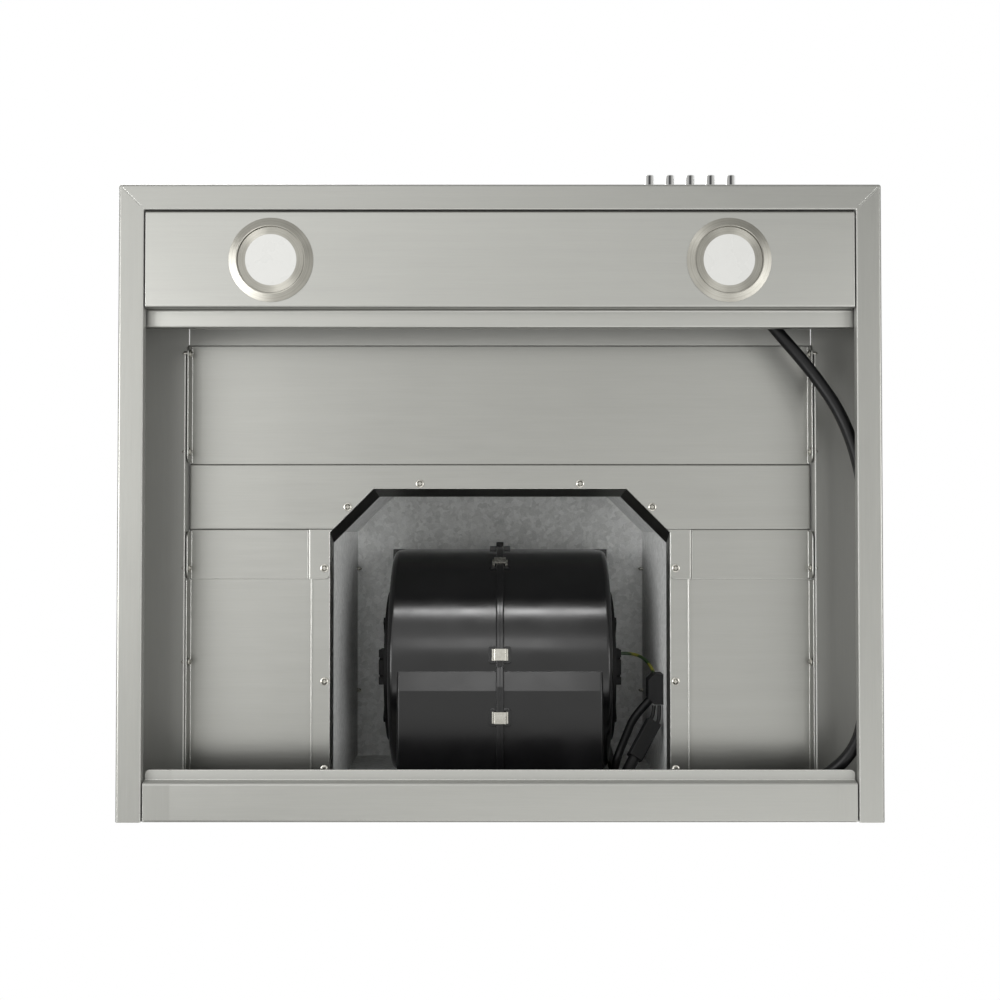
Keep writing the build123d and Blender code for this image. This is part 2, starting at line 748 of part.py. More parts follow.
# Seats of the spring clips along the ridge: one under the box, three round the scroll
half_growth = scroll_growth / 2
front_turn_centre = Vector(0, fan_y - half_growth, fan_z + half_growth)
rear_turn_centre = Vector(0, fan_y + half_growth, fan_z - half_growth)
front_turn = scroll_radius + 2 * scroll_growth
clip_turns = (
    (front_turn_centre, front_turn),
    (front_turn_centre, front_turn),
    (rear_turn_centre, scroll_radius),
)
clip_seats = [(Vector(0, fan_y + box_clip_share * box_back, fan_z - box_drop), Vector(0, 0, -1))]
for (turn_centre, turn_radius), turn_angle in zip(clip_turns, clip_angles):
    outward = Vector(0, -sin(radians(turn_angle)), -cos(radians(turn_angle)))
    clip_seats.append((turn_centre + outward * turn_radius, outward))
clip_planes = []
for seat, outward in clip_seats:
    clip_planes.append(Plane(seat, x_dir=outward.cross(Vector(1, 0, 0)), z_dir=outward))

# Scroll housing, in two halves that meet at a ridge in the middle
housing_halves = []
mouth_reach = scroll_half_width + mouth_flange
for side in (-1, 1):
    outermost = -1 if side > 0 else 0
    with BuildPart() as scroll_ridge:
        extrude(scroll_outline(-ridge_rise), amount=side * ridge_half)
        ridge_end = scroll_ridge.faces().filter_by(Axis.X).sort_by(Axis.X)[outermost]
        fillet(ridge_end.edges().filter_by_position(Axis.Z, z_rim, z_lid - 1), radius=ridge_edge)
    with BuildPart() as box_ridge:
        extrude(box_outline(-ridge_rise), amount=side * ridge_half)
        ridge_end = box_ridge.faces().filter_by(Axis.X).sort_by(Axis.X)[outermost]
        low_edges = ridge_end.edges().filter_by_position(Axis.Z, z_rim, fan_z - box_drop + box_ramp)
        fillet(low_edges, radius=ridge_edge)
    with BuildPart() as housing:
        extrude(box_outline(), amount=side * box_half)
        box_end = housing.faces().filter_by(Axis.X).sort_by(Axis.X)[outermost]
        box_edges = box_end.edges().filter_by_position(Axis.Z, z_rim, fan_z - box_drop + box_ramp)
        fillet(box_edges, radius=box_edge)
        box_cavity = box_outline(scroll_wall)
        extrude(box_cavity, amount=side * (box_half - scroll_wall), mode=Mode.SUBTRACT)
        extrude(scroll_outline(), amount=side * scroll_half_width)
        scroll_end = housing.faces().filter_by(Axis.X).sort_by(Axis.X)[outermost]
        fillet(scroll_end.edges().filter_by_position(Axis.Z, z_rim, z_lid - 1), radius=scroll_edge)
        # Ridge round the joint, ears under the clips, a lug at the front and the mouth's flange
        add(scroll_ridge.part)
        add(box_ridge.part)
        for clip_plane in clip_planes:
            with BuildSketch(clip_plane) as ear:
                half_ear = joint_ear_length / 2
                rectangle_between(-half_ear, half_ear, *band_between(-side, 0, joint_ear_half))
                outer_corners = ear.vertices().group_by(Axis.Y)[0 if side > 0 else -1]
                chamfer(outer_corners, length=joint_ear_corner)
            extrude(amount=joint_ear_thickness)
            extrude(ear.sketch, amount=-scroll_wall)
        with BuildSketch(Plane.XY.offset(z_boss - joint_ear_height / 2)):
            lug_span = band_between(side, 0, joint_ear_half)
            rectangle_between(*lug_span, mouth_front_y - ridge_rise, mouth_front_y + joint_ear_rise)
        extrude(amount=joint_ear_height)
        with BuildSketch(Plane.XY.offset(z_lid)):
            flange_rows = (mouth_front_y, mouth_back_y + mouth_flange)
            rectangle_between(*band_between(side, 0, mouth_reach), *flange_rows)
        extrude(amount=-mouth_flange_thickness)
        with BuildSketch(Plane.YZ.offset(side * (scroll_half_width - scroll_wall))):
            with Locations((fan_y, fan_z)):
                Circle(inlet_radius + grille_rim)
        extrude(amount=side * 2 * scroll_wall)
        cavity = scroll_outline(scroll_wall)
        extrude(cavity, amount=side * (scroll_half_width - scroll_wall), mode=Mode.SUBTRACT)
        with BuildSketch(Plane.YZ.offset(side * (scroll_half_width - 2 * scroll_wall))):
            with Locations((fan_y, fan_z)):
                Circle(inlet_radius)
        extrude(amount=side * 4 * scroll_wall, mode=Mode.SUBTRACT)
        mouth_screw_holes(z_lid, -mouth_flange_thickness)
    housing_halves.append(housing.part)
fan_housing_left, fan_housing_right = housing_halves

# Spring clip that holds the two halves together over the ridge, seat down
with BuildPart() as joint_clip:
    over_half = clip_inner + clip_sheet
    foot_half = over_half + clip_foot
    foot_level = joint_ear_thickness + seat_gap
    with BuildSketch(Plane.YZ) as clip_section:
        rectangle_between(-foot_half, foot_half, foot_level, foot_level + clip_sheet)
        rectangle_between(-over_half, over_half, foot_level, ridge_rise + clip_sheet)
        fillet(clip_section.vertices().group_by(Axis.Y)[-1], radius=1.5 * clip_sheet)
        rectangle_between(-clip_inner, clip_inner, 0, ridge_rise, mode=Mode.SUBTRACT)
    extrude(amount=clip_width / 2, both=True)

with BuildPart() as housing_clips:
    for clip_plane in clip_planes:
        with Locations(clip_plane):
            add(joint_clip.part)

# Rubber buffer on the front of the ridge
with BuildPart() as housing_buffer:
    with BuildSketch(Plane.XZ.offset(ridge_rise - mouth_front_y)):
        with Locations((0, z_boss)):
            Circle(boss_radius)
    extrude(amount=boss_length)
    fillet(housing_buffer.faces().sort_by(Axis.Y)[0].edges(), radius=boss_radius / 4)

# Inlet grilles: bell mouth, arms and the hub that holds one end of the fixed axle
hub_end = scroll_half_width + hub_reach
grille_seat = scroll_half_width + scroll_wall
hub_start = scroll_half_width - hub_root
inlet_grilles = []
for side in (-1, 1):
    axle_plane = Plane((0, fan_y, fan_z), x_dir=(side, 0, 0), z_dir=(0, -side, 0))
    with BuildPart() as grille:
        with BuildSketch(axle_plane):
            with BuildLine():
                throat = inlet_radius - 2 * grille_thickness
                face = grille_seat + grille_thickness
                inner_end = wheel_half_width + grille_wheel_gap
                bell_start = grille_seat - bell_depth
                Polyline(
                    (inner_end, throat),
                    (inner_end, throat + grille_thickness),
                    (bell_start, throat + grille_thickness),
                )
                inner_bell = RadiusArc(
                    (bell_start, throat + grille_thickness),
                    (grille_seat, inlet_radius - seat_gap),
                    2 * bell_depth,
                )
                Polyline(
                    inner_bell @ 1,
                    (grille_seat, inlet_radius + grille_rim - 1),
                    (face, inlet_radius + grille_rim - 1),
                    (face, throat + bell_spread),
                )
                RadiusArc((face, throat + bell_spread), (bell_start, throat), -2 * bell_spread)
                Line((bell_start, throat), (inner_end, throat))
            make_face()
        revolve(axis=Axis((0, fan_y, fan_z), (1, 0, 0)))
        with BuildSketch(Plane.YZ.offset(side * grille_seat)):
            with Locations((fan_y, fan_z)):
                with PolarLocations((hub_radius + inlet_radius) / 2 + 1, grille_arms, start_angle=45):
                    Rectangle(inlet_radius - hub_radius, grille_arm)
        extrude(amount=side * grille_depth)
        with BuildSketch(Plane.YZ.offset(side * hub_start)):
            with Locations((fan_y, fan_z)):
                Circle(hub_radius)
        extrude(amount=side * (hub_end - hub_start))
        fillet(grille.faces().filter_by(Axis.X).sort_by(Axis.X)[-1 if side > 0 else 0].edges(), radius=hub_edge)
        with BuildSketch(Plane.YZ.offset(side * hub_start)):
            with Locations((fan_y, fan_z)):
                Circle(bush_radius)
        extrude(amount=side * (hub_end - hub_start - hub_wall), mode=Mode.SUBTRACT)
        # Terminal block under the hub, where the leads leave
        with BuildSketch(Plane.XY.offset(fan_z - hub_radius - terminal_drop)):
            terminal_span = band_between(side, grille_seat + 0.5, hub_end)
            rectangle_between(*terminal_span, fan_y - hub_radius, fan_y + hub_radius)
        extrude(amount=terminal_drop + 3.0)
        with BuildSketch(Plane.XY.offset(fan_z - hub_radius - terminal_drop)):
            for row in (-1, 1):
                slot_middle = fan_y + row * hub_radius / 2
                slot_span = band_between(side, hub_end - terminal_slot_depth, hub_end)
                rectangle_between(*slot_span, slot_middle - terminal_slot / 2, slot_middle + terminal_slot / 2)
        extrude(amount=terminal_drop + 3.0, mode=Mode.SUBTRACT)
    inlet_grilles.append(grille.part)
inlet_grille_left, inlet_grille_right = inlet_grilles

# Fixed axle, and the rubber bushes that hold it in the hubs
with BuildPart() as motor_axle:
    with BuildSketch(Plane.YZ):
        with Locations((fan_y, fan_z)):
            Circle(axle_radius)
    extrude(amount=axle_half, both=True)

with BuildPart() as axle_bushes:
    for side in (-1, 1):
        with BuildSketch(Plane.YZ.offset(side * hub_start)):
            with Locations((fan_y, fan_z)):
                Circle(bush_radius)
                Circle(axle_radius, mode=Mode.SUBTRACT)
        extrude(amount=side * (hub_end - hub_start - hub_wall))

# External rotor that turns on the axle, with a flange that drives the wheel
with BuildPart() as rotor_drum:
    with BuildSketch(Plane.YZ):
        with Locations((fan_y, fan_z)):
            Circle(rotor_radius)
    extrude(amount=rotor_half_width, both=True)
    fillet(rotor_drum.edges().filter_by(GeomType.CIRCLE), radius=4)
    with BuildSketch(Plane.YZ.offset(wheel_disc / 2)):
        with Locations((fan_y, fan_z)):
            Circle(rotor_flange_radius)
    extrude(amount=rotor_flange_thickness)
    with BuildSketch(Plane.YZ):
        with Locations((fan_y, fan_z)):
            Circle(axle_radius + 2)
    extrude(amount=rotor_half_width, both=True, mode=Mode.SUBTRACT)
    for side in (-1, 1):
        with BuildSketch(Plane.YZ.offset(side * rotor_half_width)):
            with Locations((fan_y, fan_z)):
                Circle(bearing_radius)
        extrude(amount=-side * bearing_width, mode=Mode.SUBTRACT)
    with BuildSketch(Plane.YZ.offset(wheel_disc / 2)):
        with Locations((fan_y, fan_z)):
            with PolarLocations(rotor_screw_circle, 4):
                Circle(shank_radius + screw_clearance)
    extrude(amount=rotor_flange_thickness, mode=Mode.SUBTRACT)

with BuildPart() as motor_bearings:
    for side in (-1, 1):
        with BuildSketch(Plane.YZ.offset(side * rotor_half_width)):
            with Locations((fan_y, fan_z)):
                Circle(bearing_radius)
                Circle(axle_radius + axle_clearance, mode=Mode.SUBTRACT)
        extrude(amount=-side * bearing_width)

# Fan wheel: forward-curved blades on both sides of a middle disc, in two end rings
blade_root = wheel_radius - blade_chord
with BuildSketch() as blade:
    with BuildLine():
        sweep_angle = radians(blade_sweep)
        tip = (wheel_radius * cos(sweep_angle), wheel_radius * sin(sweep_angle))
        RadiusArc((blade_root, 0), tip, 1.2 * blade_chord)
    trace(line_width=blade_thickness)

with BuildPart() as fan_wheel:
    with BuildSketch(Plane.YZ.offset(-wheel_half_width)):
        with Locations((fan_y, fan_z)):
            with PolarLocations(0, blade_count):
                add(blade.sketch)
    extrude(amount=2 * wheel_half_width)
    with BuildSketch(Plane.YZ):
        with Locations((fan_y, fan_z)):
            Circle(wheel_radius - 1)
            Circle(rotor_radius, mode=Mode.SUBTRACT)
            with PolarLocations(rotor_screw_circle, 4):
                Circle(shank_radius + screw_clearance, mode=Mode.SUBTRACT)
    extrude(amount=wheel_disc / 2, both=True)
    for side in (-1, 1):
        with BuildSketch(Plane.YZ.offset(side * wheel_half_width)):
            with Locations((fan_y, fan_z)):
                Circle(wheel_radius + 1)
                Circle(blade_root + 2, mode=Mode.SUBTRACT)
        extrude(amount=-side * wheel_ring)

# Screws that join the rotor's flange to the wheel
with BuildPart() as rotor_screws:
    flange_face = wheel_disc / 2 + rotor_flange_thickness
    for turn in range(4):
        angle = radians(90 * turn)
        seat = (
            flange_face,
            fan_y + rotor_screw_circle * cos(angle),
            fan_z + rotor_screw_circle * sin(angle),
        )
        with Locations(Plane(seat, x_dir=(0, 0, 1), z_dir=(1, 0, 0))):
            add(pan_screw(shank_length - 2))


# Outlet adapter: rectangular foot on the lid, lofted into the round duct collar
def mouth_rectangle(level, growth):
    """Inside of the scroll's mouth, grown all round."""
    half = scroll_half_width - scroll_wall + growth
    near = mouth_front_y + scroll_wall - growth
    far = mouth_back_y - scroll_wall + growth
    with BuildSketch(Plane.XY.offset(level)) as outline:
        rectangle_between(-half, half, near, far)
        fillet(outline.vertices(), radius=mouth_corner + growth)
    return outline.sketch


def duct_circle(level, radius):
    """Circle about the duct's axis."""
    with BuildSketch(Plane.XY.offset(level)) as outline:
        with Locations((0, duct_y)):
            Circle(radius)
    return outline.sketch


with BuildPart() as outlet_adapter:
    with BuildSketch(Plane.XY.offset(z_adapter)) as foot:
        reach = scroll_half_width + adapter_flange
        rectangle_between(-reach, reach, mouth_front_y - adapter_flange, mouth_back_y + adapter_flange)
        fillet(foot.vertices(), radius=flange_corner)
    extrude(amount=adapter_flange_thickness)
    loft([mouth_rectangle(z_adapter, duct_wall), duct_circle(z_duct, duct_radius)])
    loft([mouth_rectangle(z_adapter, 0), duct_circle(z_duct, duct_inner)], mode=Mode.SUBTRACT)
    extrude(duct_circle(z_duct, duct_radius), amount=duct_height)
    extrude(duct_circle(z_duct, duct_inner), amount=duct_height, mode=Mode.SUBTRACT)
    # Seat for the closed flaps, and bores for their rod
    seat_top = z_flap - flap_thickness / 2 - seat_gap
    extrude(duct_circle(seat_top, duct_inner + duct_wall / 2), amount=-flap_seat)
    extrude(duct_circle(seat_top, duct_inner - flap_seat), amount=-flap_seat, mode=Mode.SUBTRACT)
    with BuildSketch(Plane.YZ):
        with Locations((duct_y, z_flap)):
            Circle(flap_rod_radius)
    extrude(amount=duct_radius + 1, both=True, mode=Mode.SUBTRACT)
    mouth_screw_holes(z_adapter, adapter_flange_thickness)

with BuildPart() as flap_rod:
    with BuildSketch(Plane.YZ):
        with Locations((duct_y, z_flap)):
            Circle(flap_rod_radius)
    extrude(amount=duct_radius - 0.3, both=True)

# Backdraught flaps: half discs whose knuckles take turns along the rod
flap_radius = duct_inner - flap_gap
flaps = []
for side in (-1, 1):
    with BuildPart() as flap:
        with BuildSketch(Plane.XY.offset(z_flap - flap_thickness / 2)):
            with Locations((0, duct_y)):
                Circle(flap_radius)
            keep_rows = sorted((duct_y + side * flap_root, duct_y + side * duct_radius))
            rectangle_between(-duct_radius, duct_radius, *keep_rows, mode=Mode.INTERSECT)
        extrude(amount=flap_thickness)
        knuckle_places = [
            (side * knuckle_spacing * (row - 1.25), 0) for row in range(knuckle_count)
        ]
        with BuildSketch(Plane.XY.offset(z_flap - flap_thickness / 2)):
            with Locations((0, duct_y + side * flap_root / 2)):
                with Locations(*knuckle_places):
                    Rectangle(knuckle_length, flap_root)
        extrude(amount=flap_thickness)
        for place, _ in knuckle_places:
            with BuildSketch(Plane.YZ.offset(place - knuckle_length / 2)):
                with Locations((duct_y, z_flap)):
                    Circle(flap_rod_radius + flap_rod_clearance + knuckle_wall)
            extrude(amount=knuckle_length)
        with BuildSketch(Plane.YZ):
            with Locations((duct_y, z_flap)):
                Circle(flap_rod_radius + flap_rod_clearance)
        extrude(amount=duct_radius, both=True, mode=Mode.SUBTRACT)
    flaps.append(flap.part)
flap_front, flap_rear = flaps


# Chimney covers: U-shaped sheets with their rear edges folded in, one inside the other
def cover_section(level, half, depth, rear):
    """Section of a cover: front, two sides and the folded rear edges."""
    folds = [
        (half - chimney_return, rear),
        (half, rear),
        (half, -depth),
        (-half, -depth),
        (-half, rear),
        (chimney_return - half, rear),
    ]
    return folded(Plane.XY.offset(level), folds)


with BuildPart() as chimney_lower:
    extrude(cover_section(z_top, chimney_half, chimney_depth, 0), amount=chimney_height)

with BuildPart() as chimney_upper:
    extrude(cover_section(z_top, upper_half, upper_depth, -upper_return_gap), amount=upper_height)
    # Vent slots near the top of both sides
    with BuildSketch(Plane.YZ):
        vents_middle = z_top + upper_height - vent_top - vent_pitch * (vent_count - 1) / 2
        with Locations((-upper_depth / 2, vents_middle)):
            with GridLocations(0, vent_pitch, 1, vent_count):
                SlotOverall(vent_length, vent_height)
    extrude(amount=chimney_half, both=True, mode=Mode.SUBTRACT)
    with BuildSketch(Plane.YZ):
        with Locations((bracket_tab_y, z_bracket + bracket_height / 2)):
            Circle(shank_radius + screw_clearance)
    extrude(amount=chimney_half, both=True, mode=Mode.SUBTRACT)

# Wall bracket of the upper cover: arms come forward to tabs on its sides
with BuildPart() as chimney_bracket:
    tab_face = upper_half - sheet
    arm_y = -upper_return_gap - bracket_arm_gap
    bracket_folds = [
        (-tab_face, arm_y - bracket_tab),
        (-tab_face, arm_y),
        (-bracket_half, arm_y),
        (-bracket_half, 0),
        (bracket_half, 0),
        (bracket_half, arm_y),
        (tab_face, arm_y),
        (tab_face, arm_y - bracket_tab),
    ]
    extrude(folded(Plane.XY.offset(z_bracket), bracket_folds), amount=bracket_height)
    with BuildSketch(Plane.XZ):
        with Locations((0, z_bracket + bracket_height / 2)):
            with GridLocations(bracket_hole_spacing, 0, 2, 1):
                Circle(bracket_hole_radius)
    extrude(amount=2 * sheet, mode=Mode.SUBTRACT)
    with BuildSketch(Plane.YZ):
        with Locations((bracket_tab_y, z_bracket + bracket_height / 2)):
            Circle(shank_radius + screw_clearance)
    extrude(amount=chimney_half, both=True, mode=Mode.SUBTRACT)

with BuildPart() as bracket_screws:
    for side in (-1, 1):
        seat = (side * upper_half, bracket_tab_y, z_bracket + bracket_height / 2)
        with Locations(Plane(seat, x_dir=(0, 1, 0), z_dir=(side, 0, 0))):
            add(pan_screw(shank_length - 2))

# Light panel between the rim's edges, stepped up behind, with the two light holes
with BuildPart() as light_panel:
    panel_folds = [
        (y_panel, z_rim + panel_flange),
        (y_panel, z_rim),
        (y_ledge, z_rim),
        (y_ledge, z_rim + panel_step),
        (y_ledge + panel_ledge, z_rim + panel_step),
        (y_ledge + panel_ledge, z_rim + panel_step + panel_lip),
    ]
    extrude(folded(Plane.YZ, panel_folds, side=Side.LEFT), amount=x_panel, both=True)
    extrude(folded(Plane.YZ, panel_folds[3:], side=Side.LEFT), amount=x_panel_wing, both=True)
    with BuildSketch(Plane.XY.offset(z_rim)):
        for side in (-1, 1):
            rectangle_between(*band_between(side, x_panel - sheet, x_panel), y_panel + bend, y_ledge - bend)
    extrude(amount=panel_flange)
    with BuildSketch(Plane.XY.offset(z_rim)):
        with Locations((0, y_light)):
            with GridLocations(light_spacing, 0, 2, 1):
                Circle(light_inner_radius + light_sleeve + seat_gap)
    extrude(amount=2 * sheet, mode=Mode.SUBTRACT)

# Brackets that hang the light panel from the roof strip
with BuildPart() as panel_brackets:
    for side in (-1, 1):
        web = side * (x_panel - panel_bracket_inset)
        foot = web + side * panel_bracket_foot
        bracket_middle = (y_panel + y_ledge) / 2
        with BuildSketch(Plane.XZ.offset(-bracket_middle)):
            with BuildLine():
                hanger_folds = [(foot, z_rim + sheet), (web, z_rim + sheet), (web, z_skin), (foot, z_skin)]
                FilletPolyline(*hanger_folds, radius=bend)
                offset(amount=sheet, side=Side.LEFT if side < 0 else Side.RIGHT)
            make_face()
        extrude(amount=panel_bracket_length / 2, both=True)

# Switch body behind the front wall, with its two ears against the wall
switch_span = (button_count - 1) * button_spacing / 2 + button_radius + switch_margin
switch_face_y = y_front + switch_front_gap
with BuildPart() as switch_body:
    with BuildSketch(Plane.XZ.offset(-switch_face_y)):
        with Locations((button_centre, z_button)):
            Rectangle(2 * switch_span, switch_height)
    extrude(amount=-switch_depth)
    fillet(switch_body.edges().filter_by(Axis.Y), radius=bend)
    with BuildSketch(Plane.XZ.offset(-y_front - sheet)):
        for side in (-1, 1):
            with Locations((button_centre + side * (switch_span - switch_ear / 2), z_button)):
                Rectangle(switch_ear, switch_height - 2 * bend)
    extrude(amount=-switch_front_gap)
    with BuildSketch(Plane.XZ.offset(-switch_face_y)):
        with Locations((button_centre, z_button)):
            with GridLocations(button_spacing, 0, button_count, 1):
                Circle(stem_radius + stem_clearance)
    extrude(amount=-stem_length - button_travel - 1.0, mode=Mode.SUBTRACT)

# Push buttons: chromed caps on plain stems
push_buttons = []
button_start = button_centre - (button_count - 1) * button_spacing / 2
for number in range(button_count):
    with BuildPart() as push_button:
        with BuildSketch(Plane.XZ.offset(button_reach - y_front)):
            with Locations((button_start + number * button_spacing, z_button)):
                Circle(button_radius)
        extrude(amount=-button_reach - switch_front_gap + button_travel + 1.0)
        fillet(push_button.faces().sort_by(Axis.Y)[0].edges(), radius=0.8)
        with BuildSketch(Plane.XZ.offset(-switch_face_y)):
            with Locations((button_start + number * button_spacing, z_button)):
                Circle(stem_radius)
        extrude(amount=button_travel + 1.0)
        with BuildSketch(Plane.XZ.offset(-switch_face_y)):
            with Locations((button_start + number * button_spacing, z_button)):
                Circle(stem_radius)
        extrude(amount=-stem_length)
    push_buttons.append(push_button.part)

# Downlights: conical bezel, sleeve through the panel, finned heat sink and a lens
light_bodies = []
light_lenses = []
lens_depth = 2.0
for side in (-1, 1):
    light_x = side * light_spacing / 2
    with BuildPart() as light_body:
        with BuildSketch(Plane((light_x, y_light, z_rim), x_dir=(1, 0, 0), z_dir=(0, -1, 0))):
            with BuildLine():
                Polyline(
                    (0, lens_depth - light_plate_recess),
                    (light_lens_radius, lens_depth - light_plate_recess),
                    (light_lens_radius, -light_plate_recess),
                    (light_inner_radius - light_groove, -light_plate_recess),
                    (light_inner_radius - light_groove, 0),
                    (light_inner_radius, 0),
                    (light_inner_radius, -light_ring_height),
                    (light_inner_radius + light_sleeve, -light_ring_height),
                    (light_ring_radius, -light_ring_edge),
                    (light_ring_radius, 0),
                    (light_inner_radius + light_sleeve, 0),
                    (light_inner_radius + light_sleeve, light_base_height),
                    (0, light_base_height),
                    (0, lens_depth - light_plate_recess),
                )
            make_face()
        revolve(axis=Axis((light_x, y_light, z_rim), (0, 0, 1)))
        with BuildSketch(Plane.XY.offset(z_rim + light_base_height)):
            with Locations((light_x, y_light)):
                with GridLocations(2.0 * light_inner_radius / heat_sink_fins, 0, heat_sink_fins, 1):
                    Rectangle(fin_thickness, 2 * light_inner_radius)
                Circle(light_inner_radius - 1, mode=Mode.INTERSECT)
        extrude(amount=heat_sink_height - light_base_height)
    light_bodies.append(light_body.part)
    with BuildPart() as light_lens:
        with BuildSketch(Plane.XY.offset(z_rim - light_plate_recess)):
            with Locations((light_x, y_light)):
                Circle(light_lens_radius)
        extrude(amount=lens_depth)
    light_lenses.append(light_lens.part)
light_body_left, light_body_right = light_bodies
light_lens_left, light_lens_right = light_lenses

# Spring clips that press the downlights against the panel
with BuildPart() as light_clips:
    for side in (-1, 1):
        for end in (-1, 1):
            light_x = side * light_spacing / 2
            root = light_x + end * (light_inner_radius + light_sleeve)
            with BuildSketch(Plane.XZ.offset(-y_light - light_clip_width / 2)):
                with BuildLine():
                    Polyline(
                        (root, z_rim + light_base_height),
                        (root, z_rim + light_base_height / 2),
                        (root + end * light_clip_reach, z_rim + sheet),
                        (root + end * (light_clip_reach + light_clip_toe), z_rim + sheet),
                        (root + end * (light_clip_reach + light_clip_toe), z_rim + sheet + clip_sheet),
                        (root + end * (light_clip_reach + clip_sheet / 2), z_rim + sheet + clip_sheet),
                        (root + end * clip_sheet, z_rim + light_base_height / 2 + clip_sheet / 2),
                        (root + end * clip_sheet, z_rim + light_base_height),
                        (root, z_rim + light_base_height),
                    )
                make_face()
            extrude(amount=light_clip_width)

# Junction box on the lid, its cover, and the gland of the supply cord
junction_low = z_lid + sheet
junction_plane = Plane.XY.offset(junction_low)
with BuildPart() as junction_box:
    with BuildSketch(junction_plane):
        with Locations((junction_x, electric_y)):
            RectangleRounded(junction_width, junction_depth, 2 * bend)
    extrude(amount=junction_height)
    offset(amount=-junction_wall, openings=junction_box.faces().sort_by(Axis.Z)[-1])
    with BuildSketch(junction_plane):
        with Locations(lead_exit):
            Circle(grommet_radius)
    extrude(amount=junction_wall, mode=Mode.SUBTRACT)

with BuildPart() as junction_cover:
    with BuildSketch(Plane.XY.offset(junction_low + junction_height)):
        with Locations((junction_x, electric_y)):
            RectangleRounded(junction_width, junction_depth, 2 * bend)
    extrude(amount=junction_cover_height)
    fillet(junction_cover.faces().sort_by(Axis.Z)[-1].edges(), radius=1.0)
    with BuildSketch(Plane.XY.offset(junction_low + junction_height)):
        with Locations((gland_x, electric_y)):
            Circle(gland_bore)
    extrude(amount=junction_cover_height, mode=Mode.SUBTRACT)

with BuildPart() as cable_gland:
    gland_low = junction_low + junction_height + junction_cover_height
    with BuildSketch(Plane.XY.offset(gland_low)):
        with Locations((gland_x, electric_y)):
            RegularPolygon(gland_nut, 6)
    extrude(amount=gland_height / 3)
    with BuildSketch(Plane.XY.offset(gland_low + gland_height / 3)):
        with Locations((gland_x, electric_y)):
            Circle(gland_radius)
    extrude(amount=2 * gland_height / 3)
    fillet(cable_gland.faces().sort_by(Axis.Z)[-1].edges(), radius=2.0)
    with BuildSketch(Plane.XY.offset(gland_low)):
        with Locations((gland_x, electric_y)):
            Circle(gland_bore)
    extrude(amount=gland_height, mode=Mode.SUBTRACT)

# Motor capacitor lying on the lid under its strap
capacitor_axis = junction_low + capacitor_radius
capacitor_start = capacitor_x - capacitor_length / 2
with BuildPart() as capacitor:
    with BuildSketch(Plane.YZ.offset(capacitor_start)):
        with Locations((electric_y, capacitor_axis)):
            Circle(capacitor_radius)
    extrude(amount=capacitor_length)
    fillet(capacitor.edges().filter_by(GeomType.CIRCLE), radius=capacitor_edge)
    with BuildSketch(Plane.YZ.offset(capacitor_start + capacitor_length)):
        with Locations((electric_y, capacitor_axis)):
            with GridLocations(blade_spacing, 0, 2, 1):
                Rectangle(blade_terminal_thickness, blade_terminal_width)
    extrude(amount=blade_terminal_length)

with BuildPart() as capacitor_strap:
    with BuildSketch(Plane.YZ.offset(capacitor_x - strap_width / 2)):
        with Locations((electric_y, capacitor_axis)):
            Circle(capacitor_radius + clip_sheet)
            Circle(capacitor_radius, mode=Mode.SUBTRACT)
        with Locations((electric_y, capacitor_axis - capacitor_radius)):
            Rectangle(3 * capacitor_radius, 2 * capacitor_radius, mode=Mode.SUBTRACT)
        for end in (-1, 1):
            leg = electric_y + end * (capacitor_radius + clip_sheet / 2)
            with Locations((leg, junction_low + capacitor_radius / 2)):
                Rectangle(clip_sheet, capacitor_radius)
            foot_middle = electric_y + end * (capacitor_radius + strap_foot_length / 2)
            with Locations((foot_middle, junction_low + clip_sheet / 2)):
                Rectangle(strap_foot_length, clip_sheet)
    extrude(amount=strap_width)

# Lamp supply on top of the light panel, between the lamps
with BuildPart() as lamp_driver:
    with BuildSketch(Plane.XY.offset(z_rim + sheet)):
        with Locations((driver_x, (y_panel + y_ledge) / 2)):
            RectangleRounded(driver_width, driver_depth, bend)
    extrude(amount=driver_height)
    fillet(lamp_driver.faces().sort_by(Axis.Z)[-1].edges(), radius=1.5)

# Clip on the right wall of the chamber that gathers the leads, its corners cut square to them
clip_face = chamber_wall_x - lead_clip_reach
clip_front = clip_y - lead_clip_width / 2
clip_rear = clip_y + lead_clip_width / 2
with BuildPart() as lead_clip:
    with BuildSketch(Plane.XY.offset(z_clip - lead_clip_height / 2)):
        with BuildLine():
            Polyline(
                (chamber_wall_x, clip_front),
                (chamber_wall_x, clip_rear),
                (clip_face + lead_clip_corner, clip_rear),
                (clip_face, clip_rear - lead_clip_corner),
                (clip_face, clip_front + lead_clip_corner),
                (clip_face + lead_clip_corner, clip_front),
                (chamber_wall_x, clip_front),
            )
        make_face()
    extrude(amount=lead_clip_height)

# Connector across the rear corner of the chamber, its width level
connector_low = (chamber_wall_x - 26.8, -33.3, z_rim + 106.8)
connector_high = (chamber_wall_x - 8.9, -62.1, z_rim + 118.7)
connector_axis = Vector(*connector_high) - Vector(*connector_low)
connector_plane = Plane(connector_low, x_dir=(1, 0.527, 0), z_dir=connector_axis)
with BuildPart() as wire_connector:
    with BuildSketch(connector_plane):
        RectangleRounded(connector_width, connector_thickness, bend)
    extrude(amount=connector_axis.length)

